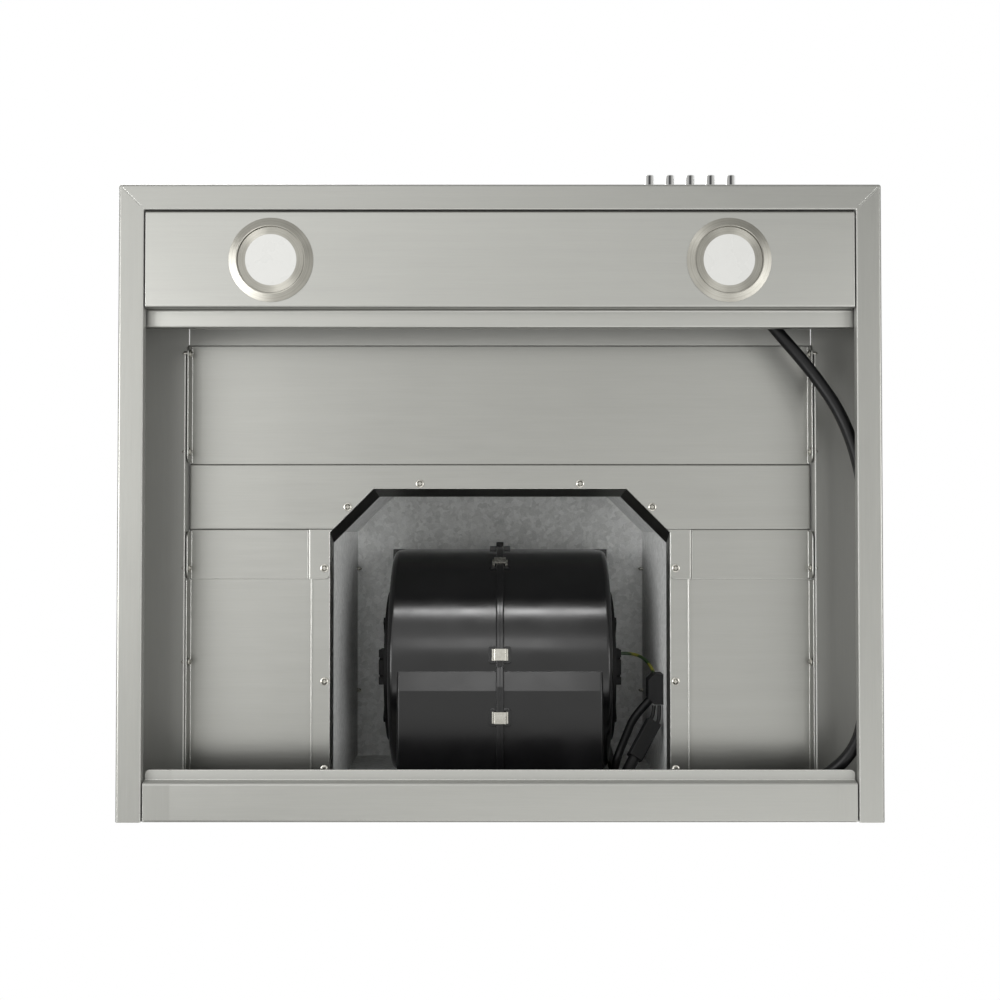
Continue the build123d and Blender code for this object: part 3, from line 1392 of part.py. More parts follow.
# Lamp and switch leads in their sleeve: over the right lamp, along the rim, up to the connector
harness_route = [
    (x_side - 115.0, switch_face_y + switch_depth, z_button),
    (x_side - 115.0, switch_face_y + 48.0, z_button),
    (x_side - 103.2, 0.848 * y_front, z_button + 2.5),
    (x_side - 80.0, 0.786 * y_front, z_button + 4.0),
    (x_side - 50.0, 0.716 * y_front, z_button + 1.0),
    (x_side - 24.0, 0.632 * y_front, z_rim + 21.0),
    (x_side - 12.0, 0.524 * y_front, z_rim + 9.0),
    (x_side - 11.0, 0.41 * y_front, z_rim + 7.6),
    (x_side - 11.6, 0.296 * y_front, z_rim + 7.6),
    (x_side - 11.4, 0.184 * y_front, z_rim + 9.0),
    (x_side - 18.0, -52.0, z_rim + 18.0),
    (x_side - 48.0, -25.0, z_rim + 29.0),
    (x_side - 95.0, -17.0, z_rim + 32.0),
    (chamber_wall_x + 18.4, -14.0, z_rim + 33.5),
    (chamber_wall_x - 13.6, -12.2, z_rim + 37.5),
    (chamber_wall_x - 37.1, -11.4, z_rim + 53.0),
    (chamber_wall_x - 40.4, -11.4, z_rim + 84.0),
    (chamber_wall_x - 36.9, -17.0, z_rim + 96.4),
    (chamber_wall_x - 30.8, -26.9, z_rim + 104.2),
    connector_low,
]
harness_sleeve = lead("harness_sleeve", harness_route, sleeve_radius)

# Two leads from the connector, ending just clear of the clip
clip_lead_end = clip_rear + 1.1
left_route = [
    (chamber_wall_x - 11.5, -63.9, z_rim + 118.9),
    (chamber_wall_x - 8.6, -68.6, z_rim + 120.8),
    (chamber_wall_x - 8.2, clip_lead_end, z_rim + 123.0),
]
connector_lead_left = lead("connector_lead_left", left_route, thin_radius)
right_route = [
    (chamber_wall_x - 6.1, -60.6, z_rim + 118.6),
    (chamber_wall_x - 3.1, -65.4, z_rim + 120.6),
    (chamber_wall_x - 3.4, clip_lead_end, z_rim + 123.4),
]
connector_lead_right = lead("connector_lead_right", right_route, thin_radius)

# Motor lead: from the clip down to the rear wall, then up through the lid
motor_run = 14.0
motor_route = [
    (clip_face + lead_clip_corner / 2, clip_rear - lead_clip_corner / 2, z_clip + 2.0),
    (clip_face + lead_clip_corner / 2 - motor_run, clip_rear - lead_clip_corner / 2 + motor_run, z_clip + 2.0),
    (chamber_wall_x - 32.0, -49.4, z_rim + 126.5),
    (scroll_half_width + 4.4, -33.0, z_rim + 118.0),
    (scroll_half_width + 1.8, -20.5, z_rim + 121.0),
    (scroll_half_width + 2.0, -12.0, z_rim + 131.5),
    (scroll_half_width + 3.8, -10.0, z_rim + 146.0),
    (scroll_half_width + 5.6, -12.0, z_rim + 185.0),
    (scroll_half_width + 5.9, -17.5, z_rim + 228.0),
    (*lead_exit, z_lid - 34.0),
    (*lead_exit, z_lid + 9.0),
]
motor_lead = lead("motor_lead", motor_route, lead_radius)

# Earth wire from the hub's terminal block to the top of the clip
earth_start_y = fan_y - 0.8 * hub_radius
terminal_middle = fan_z - hub_radius - 1.2
earth_route = [
    (hub_end, earth_start_y, terminal_middle),
    (hub_end + 10.5, earth_start_y, terminal_middle),
    (chamber_wall_x - 10.6, earth_start_y + 3.5, z_rim + 177.0),
    (chamber_wall_x - 4.8, earth_start_y + 11.9, z_rim + 163.0),
    (chamber_wall_x - 3.8, clip_y - 5.2, z_rim + 151.0),
    (chamber_wall_x - 3.8, clip_y - 5.2, z_clip + lead_clip_height / 2),
]
earth_wire = lead("earth_wire", earth_route, earth_radius)

# Grommet where the motor lead passes the lid and enters the junction box
with BuildPart() as lead_grommet:
    with BuildSketch(Plane.XY.offset(z_lid - grommet_lip)):
        with Locations(lead_exit):
            Circle(grommet_radius + grommet_lip)
    extrude(amount=grommet_lip)
    with BuildSketch(Plane.XY.offset(z_lid)):
        with Locations(lead_exit):
            Circle(grommet_radius)
    extrude(amount=sheet + junction_wall)
    with BuildSketch(Plane.XY.offset(z_lid - grommet_lip)):
        with Locations(lead_exit):
            Circle(lead_radius)
    extrude(amount=2 * grommet_radius, mode=Mode.SUBTRACT)

# Screws through the side seams, heads inwards
with BuildPart() as seam_screws:
    for side in (-1, 1):
        for row in seam_screw_rows():
            seat = (side * (x_stiffener - sheet), row, z_skin - 0.5 * seam_flange)
            with Locations(Plane(seat, x_dir=(0, 1, 0), z_dir=(-side, 0, 0))):
                add(pan_screw(0.75 * shank_length))

# Screws round the opening, heads down against the lowest sheet at each place
with BuildPart() as roof_screws:
    seats = (z_band, z_band, z_pocket, z_stiffener, z_stiffener)
    for (x, y), seat_level in zip(roof_screw_places(), seats):
        for side in (-1, 1):
            with Locations(Plane((side * x, y, seat_level), x_dir=(1, 0, 0), z_dir=(0, 0, -1))):
                add(pan_screw(shank_length))

# Screws that clamp the outlet, the lid and the housing's flange
with BuildPart() as mouth_screws:
    mouth_seat = Plane.XY.offset(z_adapter + adapter_flange_thickness)
    for x, y in mouth_screw_places():
        with Locations(Plane((x, y, mouth_seat.origin.Z), z_dir=(0, 0, 1))):
            add(pan_screw(shank_length))

# Screws that hold the lid to the chamber's sides
with BuildPart() as lid_screws:
    for side in (-1, 1):
        for row in lid_screw_rows:
            seat = (side * (opening_half + lid_inner + sheet), row, z_lid - lid_rim / 2)
            with Locations(Plane(seat, x_dir=(0, 1, 0), z_dir=(side, 0, 0))):
                add(pan_screw(shank_length - 2))

pieces = {
    "canopy_shell": canopy_shell.part,
    "back_panel": back_panel.part,
    "light_panel": light_panel.part,
    "panel_brackets": panel_brackets.part,
    "roof_skin": roof_skin.part,
    "roof_stiffener": roof_stiffener.part,
    "cross_band": cross_band.part,
    "opening_collar": opening_collar.part,
    "fan_chamber": fan_chamber.part,
    "chamber_lid": chamber_lid.part,
    "fan_housing_left": fan_housing_left,
    "fan_housing_right": fan_housing_right,
    "housing_clips": housing_clips.part,
    "housing_buffer": housing_buffer.part,
    "inlet_grille_left": inlet_grille_left,
    "inlet_grille_right": inlet_grille_right,
    "motor_axle": motor_axle.part,
    "axle_bushes": axle_bushes.part,
    "rotor_drum": rotor_drum.part,
    "motor_bearings": motor_bearings.part,
    "rotor_screws": rotor_screws.part,
    "fan_wheel": fan_wheel.part,
    "outlet_adapter": outlet_adapter.part,
    "flap_rod": flap_rod.part,
    "flap_front": flap_front,
    "flap_rear": flap_rear,
    "chimney_lower": chimney_lower.part,
    "chimney_upper": chimney_upper.part,
    "chimney_bracket": chimney_bracket.part,
    "bracket_screws": bracket_screws.part,
    "switch_body": switch_body.part,
    "light_body_left": light_body_left,
    "light_body_right": light_body_right,
    "light_lens_left": light_lens_left,
    "light_lens_right": light_lens_right,
    "light_clips": light_clips.part,
    "lamp_driver": lamp_driver.part,
    "junction_box": junction_box.part,
    "junction_cover": junction_cover.part,
    "cable_gland": cable_gland.part,
    "capacitor": capacitor.part,
    "capacitor_strap": capacitor_strap.part,
    "harness_sleeve": harness_sleeve,
    "wire_connector": wire_connector.part,
    "connector_lead_left": connector_lead_left,
    "connector_lead_right": connector_lead_right,
    "motor_lead": motor_lead,
    "earth_wire": earth_wire,
    "lead_clip": lead_clip.part,
    "lead_grommet": lead_grommet.part,
    "seam_screws": seam_screws.part,
    "roof_screws": roof_screws.part,
    "mouth_screws": mouth_screws.part,
    "lid_screws": lid_screws.part,
}
for number, button in enumerate(push_buttons):
    pieces[f"push_button_{number + 1}"] = button

for name, piece in pieces.items():
    piece.label = name
    export_step(piece, f"parts/{name}.step")
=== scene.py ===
import bpy
from math import cos, pi, radians, sin
from mathutils import Matrix, Vector


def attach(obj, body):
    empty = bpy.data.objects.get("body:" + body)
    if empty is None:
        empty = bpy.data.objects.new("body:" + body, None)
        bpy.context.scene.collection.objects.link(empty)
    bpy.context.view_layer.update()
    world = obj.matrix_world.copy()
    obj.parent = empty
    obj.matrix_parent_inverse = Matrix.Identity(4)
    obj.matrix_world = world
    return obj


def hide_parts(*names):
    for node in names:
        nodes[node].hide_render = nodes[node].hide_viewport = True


# Wall range hood seen from straight below: canopy, fan in its chamber, lamps, buttons and leads.
# Metres, X to the right, Y from the front to the wall, Z up, origin between the two wall holes.

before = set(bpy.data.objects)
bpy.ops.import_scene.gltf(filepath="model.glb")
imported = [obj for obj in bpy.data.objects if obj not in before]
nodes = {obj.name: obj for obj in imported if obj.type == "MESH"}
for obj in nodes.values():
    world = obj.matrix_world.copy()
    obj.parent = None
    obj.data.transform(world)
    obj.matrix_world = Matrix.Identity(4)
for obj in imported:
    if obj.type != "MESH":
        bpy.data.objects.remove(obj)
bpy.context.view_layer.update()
mm = 0.001
bevelSamples = 4  # rays for each softened edge
print("frame loaded:", len(nodes), "CAD nodes")


# Small tools

def linear(hexColour):
    # sRGB hex to the linear colour that the shaders take
    channels = [int(hexColour[i:i + 2], 16) / 255 for i in (0, 2, 4)]
    return tuple(c / 12.92 if c <= 0.04045 else ((c + 0.055) / 1.055) ** 2.4 for c in channels) + (1.0,)


def addNode(tree, kind, settings=None, links=None):
    # one shader node, its settings by socket or attribute name, its links by socket name
    node = tree.nodes.new(kind)
    for key, value in (settings or {}).items():
        if isinstance(key, int) or key in node.inputs:
            node.inputs[key].default_value = value
        else:
            setattr(node, key, value)
    for key, source in (links or {}).items():
        tree.links.new(source, node.inputs[key])
    return node


def newMaterial(name):
    # an empty material with its output, its surface shader and its object coordinates
    material = bpy.data.materials.new(name)
    material.use_nodes = True
    tree = material.node_tree
    tree.nodes.clear()
    output = addNode(tree, "ShaderNodeOutputMaterial")
    surface = addNode(tree, "ShaderNodeBsdfPrincipled")
    tree.links.new(surface.outputs["BSDF"], output.inputs["Surface"])
    place = addNode(tree, "ShaderNodeTexCoord").outputs["Object"]
    return material, tree, surface, place


def roughen(tree, height, strength, distance, edge):
    # fine relief over edges that are rounded by the given radius in the shading
    eased = addNode(tree, "ShaderNodeBevel", {"samples": bevelSamples, "Radius": edge})
    return addNode(tree, "ShaderNodeBump", {"Strength": strength, "Distance": distance},
                   {"Height": height, "Normal": eased.outputs[0]}).outputs[0]


# Camera, straight below the canopy and turned a touch to its front

cameraSettings = {
    "place": (0.0, -0.226, -1.145),
    "lean": 1.32,  # degrees from straight up, to the front
    "focalPixels": 1406.0,  # focal length, in pixels of the picture
    "picturePixels": 1000,
    "sensor": 36.0,
}
lean = radians(cameraSettings["lean"])
cameraData = bpy.data.cameras.new("hoodCamera")
cameraData.sensor_width = cameraSettings["sensor"]
cameraData.lens = cameraSettings["sensor"] * cameraSettings["focalPixels"] / cameraSettings["picturePixels"]
camera = bpy.data.objects.new("hoodCamera", cameraData)
bpy.context.scene.collection.objects.link(camera)
across = Vector((1.0, 0.0, 0.0))
backward = Vector((0.0, sin(lean), -cos(lean)))
upward = backward.cross(across)
turned = Matrix((across, upward, backward)).transposed()
camera.matrix_world = Matrix.Translation(cameraSettings["place"]) @ turned.to_4x4()
bpy.context.scene.camera = camera
bpy.context.scene.view_settings.view_transform = "Standard"
print("camera placed")


# Pale floor below the camera, white surroundings, large soft lamps, small ones for the dark hollow

stageSettings = {
    "floorLevel": -2.4,  # below the lowest lamps
    "floorSide": 60.0,
    "floorColour": "ebebe8",
    "floorRoughness": 0.9,
    "skyColour": "ffffff",
    "worldLight": 0.66,
    "seenLight": 1.0,  # of the surroundings as the camera and mirrors see them
}
bpy.ops.object.select_all(action="DESELECT")
bpy.ops.mesh.primitive_plane_add(size=stageSettings["floorSide"],
                                 location=(0, 0, stageSettings["floorLevel"]))
floor = bpy.context.active_object
floor.name = "studioFloor"
floorPaint, tree, surface, place = newMaterial("matt painted floor")
surface.inputs["Base Color"].default_value = linear(stageSettings["floorColour"])
surface.inputs["Roughness"].default_value = stageSettings["floorRoughness"]
floor.data.materials.append(floorPaint)

world = bpy.data.worlds.new("studioWorld")
bpy.context.scene.world = world
world.use_nodes = True
tree = world.node_tree
tree.nodes.clear()
path = addNode(tree, "ShaderNodeLightPath")
seen = addNode(tree, "ShaderNodeMath", {"operation": "ADD"},
               {0: path.outputs["Is Camera Ray"], 1: path.outputs["Is Glossy Ray"]})
seenOrThrough = addNode(tree, "ShaderNodeMath", {"operation": "ADD", "use_clamp": True},
                        {0: seen.outputs[0], 1: path.outputs["Is Transmission Ray"]})
lighting = addNode(tree, "ShaderNodeBackground", {"Strength": stageSettings["worldLight"]})
backdrop = addNode(tree, "ShaderNodeBackground", {"Strength": stageSettings["seenLight"]})
for sky in (lighting, backdrop):
    sky.inputs["Color"].default_value = linear(stageSettings["skyColour"])
shown = addNode(tree, "ShaderNodeMixShader", {},
                {0: seenOrThrough.outputs[0], 1: lighting.outputs[0], 2: backdrop.outputs[0]})
addNode(tree, "ShaderNodeOutputWorld", {}, {"Surface": shown.outputs[0]})

fanHousing = ["fan_housing_left", "fan_housing_right"]
fanChamber = ["fan_chamber"]
lamps = {
    "lampBelowFront": {
        "place": (-0.7, -1.3, -1.5), "aim": (0.0, -0.25, 0.0), "side": 1.6, "watts": 4.5},
    "lampBelowRear": {
        "place": (0.4, 0.9, -1.4), "aim": (0.0, -0.25, 0.0), "side": 1.4, "watts": 7.0},
    "lampBelowLeft": {
        "place": (-1.15, -0.25, -1.05), "aim": (0.1, -0.2, 0.1), "side": 0.7, "watts": 13.0},
    "lampBelowRight": {
        "place": (1.15, -0.25, -1.05), "aim": (-0.1, -0.2, 0.1), "side": 0.7, "watts": 6.5},
    "lampAtCamera": {
        "place": (-0.3, -0.35, -1.5), "aim": (0.0, -0.15, 0.2), "side": 1.8, "watts": 3.5},
    "lampOnScroll": {
        "place": (0.0, -1.3, -0.52), "aim": (0.0, -0.15, 0.07), "side": 0.4, "watts": 11.0,
        "lights": fanHousing},
    "lampOnRamp": {
        "place": (0.0, -0.83, -1.6), "aim": (0.0, -0.1, 0.05), "side": 0.35, "watts": 1.3,
        "lights": fanHousing},
    "lampOnWallsLeft": {
        "place": (-0.5, -0.2, -1.2), "aim": (0.14, -0.12, 0.08), "side": 0.4, "watts": 14.0,
        "lights": fanChamber},
    "lampOnWallsRight": {
        "place": (0.5, -0.2, -1.2), "aim": (-0.14, -0.12, 0.08), "side": 0.4, "watts": 14.0,
        "lights": fanChamber},
    "lampAboveFront": {
        "place": (-1.4, -2.0, 1.9), "aim": (0.0, -0.2, 0.2), "side": 2.0, "watts": 62.0},
    "lampAboveRear": {
        "place": (1.8, 1.6, 1.6), "aim": (0.0, -0.2, 0.2), "side": 2.0, "watts": 42.0},
}
for name, facts in lamps.items():
    light = bpy.data.lights.new(name, "AREA")
    light.shape = "SQUARE"
    light.size = facts["side"]
    light.energy = facts["watts"]
    lamp = bpy.data.objects.new(name, light)
    bpy.context.scene.collection.objects.link(lamp)
    lamp.location = facts["place"]
    toAim = Vector(facts["aim"]) - Vector(facts["place"])
    lamp.rotation_mode = "QUATERNION"
    lamp.rotation_quaternion = toAim.to_track_quat("-Z", "Y")
    lamp.visible_camera = False
    if "lights" in facts:
        # a small lamp with flags round it, so that it lights only these pieces
        flagged = bpy.data.collections.new(name + "Lights")
        for node in facts["lights"]:
            flagged.objects.link(nodes[node])
        lamp.light_linking.receiver_collection = flagged
print("stage and lamps ready")


# Brushed stainless sheet, ground with a fine belt: soft straight grain, satin, a little streaked
stainless = {
    "dark": "959592",
    "light": "a4a4a0",
    "grainWidth": 0.7 * mm,  # real grit lines of 0.1 mm would not show, drawn coarser
    "grainLength": 38 * mm,
    "streakWidth": 9 * mm,
    "handlingSize": 111 * mm,  # broad patches where hands and cloths dulled the sheet
    "roughness": (0.27, 0.40),
    "anisotropy": 0.45,
    "scratchDepth": 0.02 * mm,
    "scratchStrength": 0.5,
    "edge": 0.9 * mm,  # softened sheet edges that catch the light
    # painted highlight colour for the softened sheet edges
    "edgeHighlightColour": "e6e6e2",
    "edgeHighlightTurn": (0.995, 0.88),  # cosine of the eased turn, where the painted edge highlight starts and is full
}
# the canopy's shell and rear wall: front strip across, side strips along the sides
canopyFolds = {
    "halfWidth": 300 * mm,
    "depth": 500 * mm,
    "sideStripEdge": 257.5 * mm,  # from the middle to the edge of a side strip
    "mitreSlope": 1.1,  # how far the mitre moves inwards for each millimetre back
    "mouthMiddle": (0.0, -250 * mm, -45 * mm),
    "inwards": 8 * mm,  # a face looks in when the mouth's middle lies this far before it
    "innerMetal": 0.35,
}
# a darker copy of the stainless for the canopy's shell and rear wall: painted shade
rimSheetPaintedShade = dict(stainless, dark="8e8e8b", light="9c9c98")
# a darker copy of the stainless for the roof deep in the canopy: painted shade
roofSheetPaintedShade = dict(stainless, dark="878784", light="959591")


def brushedStainless(name, grain, folds=None, settings=stainless):
    # grain is "x", "y" or "z"; with folds, the outer strips and side walls run along Y and the inner
    # faces keep the dull skin of the rolled sheet
    material, tree, surface, place = newMaterial(name)
    fine, long = 1 / settings["grainWidth"], 1 / settings["grainLength"]
    scales = {"x": (long, fine, fine), "y": (fine, long, fine), "z": (fine, fine, long)}
    stretched = addNode(tree, "ShaderNodeVectorMath", {"operation": "MULTIPLY", 1: scales[grain]},
                        {0: place})
    pattern = stretched.outputs["Vector"]
    lines = {"x": (1.0, 0.0, 0.0), "y": (0.0, 1.0, 0.0), "z": (0.0, 0.0, 1.0)}
    if folds:
        parts = addNode(tree, "ShaderNodeSeparateXYZ", {}, {0: place})
        away = addNode(tree, "ShaderNodeMath", {"operation": "ABSOLUTE"}, {0: parts.outputs["X"]})
        # the mitre runs from the outer corner to the corner of the open mouth
        mitre = addNode(tree, "ShaderNodeMath",
                        {"operation": "MULTIPLY_ADD", 1: folds["mitreSlope"],
                         2: folds["mitreSlope"] * folds["depth"]}, {0: parts.outputs["Y"]})
        reach = addNode(tree, "ShaderNodeMath", {"operation": "ADD"},
                        {0: away.outputs[0], 1: mitre.outputs[0]})
        pastMitre = addNode(tree, "ShaderNodeMath", {"operation": "GREATER_THAN", 1: folds["halfWidth"]},
                            {0: reach.outputs[0]})
        outer = addNode(tree, "ShaderNodeMath", {"operation": "GREATER_THAN", 1: folds["sideStripEdge"]},
                        {0: away.outputs[0]})
        onSide = addNode(tree, "ShaderNodeMath", {"operation": "MULTIPLY"},
                         {0: pastMitre.outputs[0], 1: outer.outputs[0]})
        turnedGrain = addNode(tree, "ShaderNodeVectorMath", {"operation": "MULTIPLY", 1: scales["y"]},
                              {0: place})
        chosen = addNode(tree, "ShaderNodeMix", {"data_type": "VECTOR"},
                         {0: onSide.outputs[0], 4: pattern, 5: turnedGrain.outputs["Vector"]})
        pattern = chosen.outputs[1]
        tangent = addNode(tree, "ShaderNodeMix", {"data_type": "VECTOR", 4: lines[grain], 5: lines["y"]},
                          {0: onSide.outputs[0]}).outputs[1]
        # inner faces look to the middle of the mouth
        toMiddle = addNode(tree, "ShaderNodeVectorMath", {"operation": "SUBTRACT", 0: folds["mouthMiddle"]},
                           {1: place})
        facing = addNode(tree, "ShaderNodeTexCoord").outputs["Normal"]
        turnedIn = addNode(tree, "ShaderNodeVectorMath", {"operation": "DOT_PRODUCT"},
                           {0: toMiddle.outputs["Vector"], 1: facing})
        inside = addNode(tree, "ShaderNodeMath", {"operation": "GREATER_THAN", 1: folds["inwards"]},
                         {0: turnedIn.outputs["Value"]})
        metal = addNode(tree, "ShaderNodeMapRange", {"To Min": 1.0, "To Max": folds["innerMetal"]},
                        {"Value": inside.outputs[0]})
        tree.links.new(metal.outputs[0], surface.inputs["Metallic"])
    else:
        tangent = addNode(tree, "ShaderNodeCombineXYZ", dict(zip("XYZ", lines[grain]))).outputs[0]
        surface.inputs["Metallic"].default_value = 1.0
    scratches = addNode(tree, "ShaderNodeTexNoise", {"Scale": 1.0, "Detail": 3.0, "Roughness": 0.65},
                        {"Vector": pattern})
    streaks = addNode(tree, "ShaderNodeTexNoise",
                      {"Scale": settings["grainWidth"] / settings["streakWidth"], "Detail": 2.0},
                      {"Vector": pattern})
    handling = addNode(tree, "ShaderNodeTexNoise",
                       {"Scale": 1 / settings["handlingSize"], "Detail": 4.0, "Roughness": 0.6},
                       {"Vector": place})
    # scratches and streaks together choose between the two colours, about half and half
    blend = addNode(tree, "ShaderNodeMath", {"operation": "MULTIPLY_ADD", 1: 0.55, 2: 0.12},
                    {0: scratches.outputs["Fac"]})
    blendAll = addNode(tree, "ShaderNodeMath", {"operation": "MULTIPLY_ADD", 1: 0.35},
                       {0: streaks.outputs["Fac"], 2: blend.outputs[0]})
    colour = addNode(tree, "ShaderNodeMix",
                     {"data_type": "RGBA", 6: linear(settings["dark"]), 7: linear(settings["light"])},
                     {0: blendAll.outputs[0]})
    # painted highlight: where the eased normal leaves the face's own, the sheet edge is painted bright, as
    # if it caught the light
    eased = addNode(tree, "ShaderNodeBevel", {"samples": bevelSamples, "Radius": settings["edge"]})
    faces = addNode(tree, "ShaderNodeNewGeometry")
    parallel = addNode(tree, "ShaderNodeVectorMath", {"operation": "DOT_PRODUCT"},
                       {0: eased.outputs[0], 1: faces.outputs["Normal"]})
    paintedEdgeHighlight = addNode(tree, "ShaderNodeMapRange",
                     {"From Min": settings["edgeHighlightTurn"][0], "From Max": settings["edgeHighlightTurn"][1]},
                     {"Value": parallel.outputs["Value"]})
    colour = addNode(tree, "ShaderNodeMix", {"data_type": "RGBA", 7: linear(settings["edgeHighlightColour"])},
                     {0: paintedEdgeHighlight.outputs[0], 6: colour.outputs[2]})
    # the scratches and the broad patches of handling dull the polish
    worn = addNode(tree, "ShaderNodeMath", {"operation": "MULTIPLY_ADD", 1: 0.5},
                   {0: handling.outputs["Fac"], 2: blend.outputs[0]})
    gloss = addNode(tree, "ShaderNodeMapRange",
                    {"From Min": 0.3, "From Max": 0.9, "To Min": settings["roughness"][0],
                     "To Max": settings["roughness"][1]}, {"Value": worn.outputs[0]})
    relief = roughen(tree, scratches.outputs["Fac"], settings["scratchStrength"], settings["scratchDepth"],
                     settings["edge"])
    surface.inputs["Anisotropic"].default_value = settings["anisotropy"]
    tree.links.new(colour.outputs[2], surface.inputs["Base Color"])
    tree.links.new(gloss.outputs[0], surface.inputs["Roughness"])
    tree.links.new(relief, surface.inputs["Normal"])
    tree.links.new(tangent, surface.inputs["Tangent"])
    return material


# Hot-dip galvanised sheet: grey, with the leafy spangle of frozen zinc, duller than the stainless
galvanised = {
    "dark": "a9aaa9",
    "light": "cfd0cf",
    "spangle": 4 * mm,  # width of a zinc crystal
    "ragged": 6 * mm,  # how far the borders of the crystals wander
    "crystalShade": 0.45,  # of the crystals' own shades beside the frost
    "frost": 0.9 * mm,
    "roughness": (0.42, 0.60),
    "metallic": 0.3,  # a dull skin of oxide over the zinc
    "depth": 0.03 * mm,
    "edge": 0.6 * mm,
}


def galvanisedSheet(name, settings=galvanised):
    material, tree, surface, place = newMaterial(name)
    wobble = addNode(tree, "ShaderNodeTexNoise", {"Scale": 0.6 / settings["spangle"], "Detail": 3.0},
                     {"Vector": place})
    shifted = addNode(tree, "ShaderNodeVectorMath",
                      {"operation": "MULTIPLY_ADD", 1: (settings["ragged"],) * 3},
                      {0: wobble.outputs["Color"], 2: place})
    crystals = addNode(tree, "ShaderNodeTexVoronoi", {"Scale": 1 / settings["spangle"]},
                       {"Vector": shifted.outputs["Vector"]})
    # each crystal has a shade and a gloss of its own, with fine frost over its shade
    parts = addNode(tree, "ShaderNodeSeparateColor", {}, {0: crystals.outputs["Color"]})
    frost = addNode(tree, "ShaderNodeTexNoise",
                    {"Scale": 1 / settings["frost"], "Detail": 3.0, "Roughness": 0.7}, {"Vector": place})
    shade = addNode(tree, "ShaderNodeMath", {"operation": "MULTIPLY_ADD", 1: settings["crystalShade"]},
                    {0: parts.outputs[0], 2: frost.outputs["Fac"]})
    level = addNode(tree, "ShaderNodeMapRange", {"From Min": 0.35, "From Max": 1.1},
                    {"Value": shade.outputs[0]})
    colour = addNode(tree, "ShaderNodeMix",
                     {"data_type": "RGBA", 6: linear(settings["dark"]), 7: linear(settings["light"])},
                     {0: level.outputs[0]})
    gloss = addNode(tree, "ShaderNodeMapRange",
                    {"To Min": settings["roughness"][0], "To Max": settings["roughness"][1]},
                    {"Value": parts.outputs[1]})
    relief = roughen(tree, shade.outputs[0], 0.25, settings["depth"], settings["edge"])
    surface.inputs["Metallic"].default_value = settings["metallic"]
    tree.links.new(colour.outputs[2], surface.inputs["Base Color"])
    tree.links.new(gloss.outputs[0], surface.inputs["Roughness"])
    tree.links.new(relief, surface.inputs["Normal"])
    return material


# Plated metals, each with faint clouds of the bath in its colour and its gloss
platedMetals = {
    # warm and bright, on pressings and screws
    "bright nickel-plated steel": {
        "dark": "9c9a93", "light": "bdbbb4", "size": 3 * mm, "roughness": (0.20, 0.34)},
    # greyer and duller, on turned and drawn parts
    "zinc-plated motor steel": {
        "dark": "83827e", "light": "9d9c98", "size": 5 * mm, "roughness": (0.30, 0.45)},
    # near a mirror, light at its border, with a painted reflection darkening its core by the angle of view
    "bright chrome on moulded cap": {
        "dark": "dededd", "light": "ebebea", "size": 2 * mm, "roughness": (0.05, 0.10),
        "paintedReflectionColour": "2c2c2e", "paintedReflectionBlend": 0.35, "paintedReflectionBorder": (0.02, 0.12)},
}
platedRelief = {"depth": 0.02 * mm, "edge": 0.25 * mm}


def platedMetal(name):
    settings = platedMetals[name]
    material, tree, surface, place = newMaterial(name)
    clouds = addNode(tree, "ShaderNodeTexNoise", {"Scale": 1 / settings["size"], "Detail": 4.0},
                     {"Vector": place})
    colour = addNode(tree, "ShaderNodeMix",
                     {"data_type": "RGBA", 6: linear(settings["dark"]), 7: linear(settings["light"])},
                     {0: clouds.outputs["Fac"]})
    if "paintedReflectionColour" in settings:
        # painted reflection: the dark behind the viewer, which a mirror in a white studio shows down its
        # middle, is painted into the colour by the facing angle
        edges = addNode(tree, "ShaderNodeLayerWeight", {"Blend": settings["paintedReflectionBlend"]})
        paintedReflectionMask = addNode(tree, "ShaderNodeMapRange",
                         {"From Min": settings["paintedReflectionBorder"][0], "From Max": settings["paintedReflectionBorder"][1]},
                         {"Value": edges.outputs["Facing"]})
        colour = addNode(tree, "ShaderNodeMix", {"data_type": "RGBA", 6: linear(settings["paintedReflectionColour"])},
                         {0: paintedReflectionMask.outputs[0], 7: colour.outputs[2]})
    gloss = addNode(tree, "ShaderNodeMapRange",
                    {"To Min": settings["roughness"][0], "To Max": settings["roughness"][1]},
                    {"Value": clouds.outputs["Fac"]})
    relief = roughen(tree, clouds.outputs["Fac"], 0.15, platedRelief["depth"], platedRelief["edge"])
    surface.inputs["Metallic"].default_value = 1.0
    tree.links.new(colour.outputs[2], surface.inputs["Base Color"])
    tree.links.new(gloss.outputs[0], surface.inputs["Roughness"])
    tree.links.new(relief, surface.inputs["Normal"])
    return material


# Die-cast aluminium, faced on a lathe: rings of fine tool lines round each lamp's middle
turned = {
    "dark": "7d7b74",
    "light": "a8a69f",
    "lampX": 180 * mm,  # lamp centres, left and right
    "lampY": -440 * mm,
    "feed": 0.55 * mm,  # between tool lines, drawn coarser than the real 0.1 mm
    "clouds": 16.7 * mm,
    "depth": 0.02 * mm,
    "roughness": (0.28, 0.38),
    "anisotropy": 0.92,
}


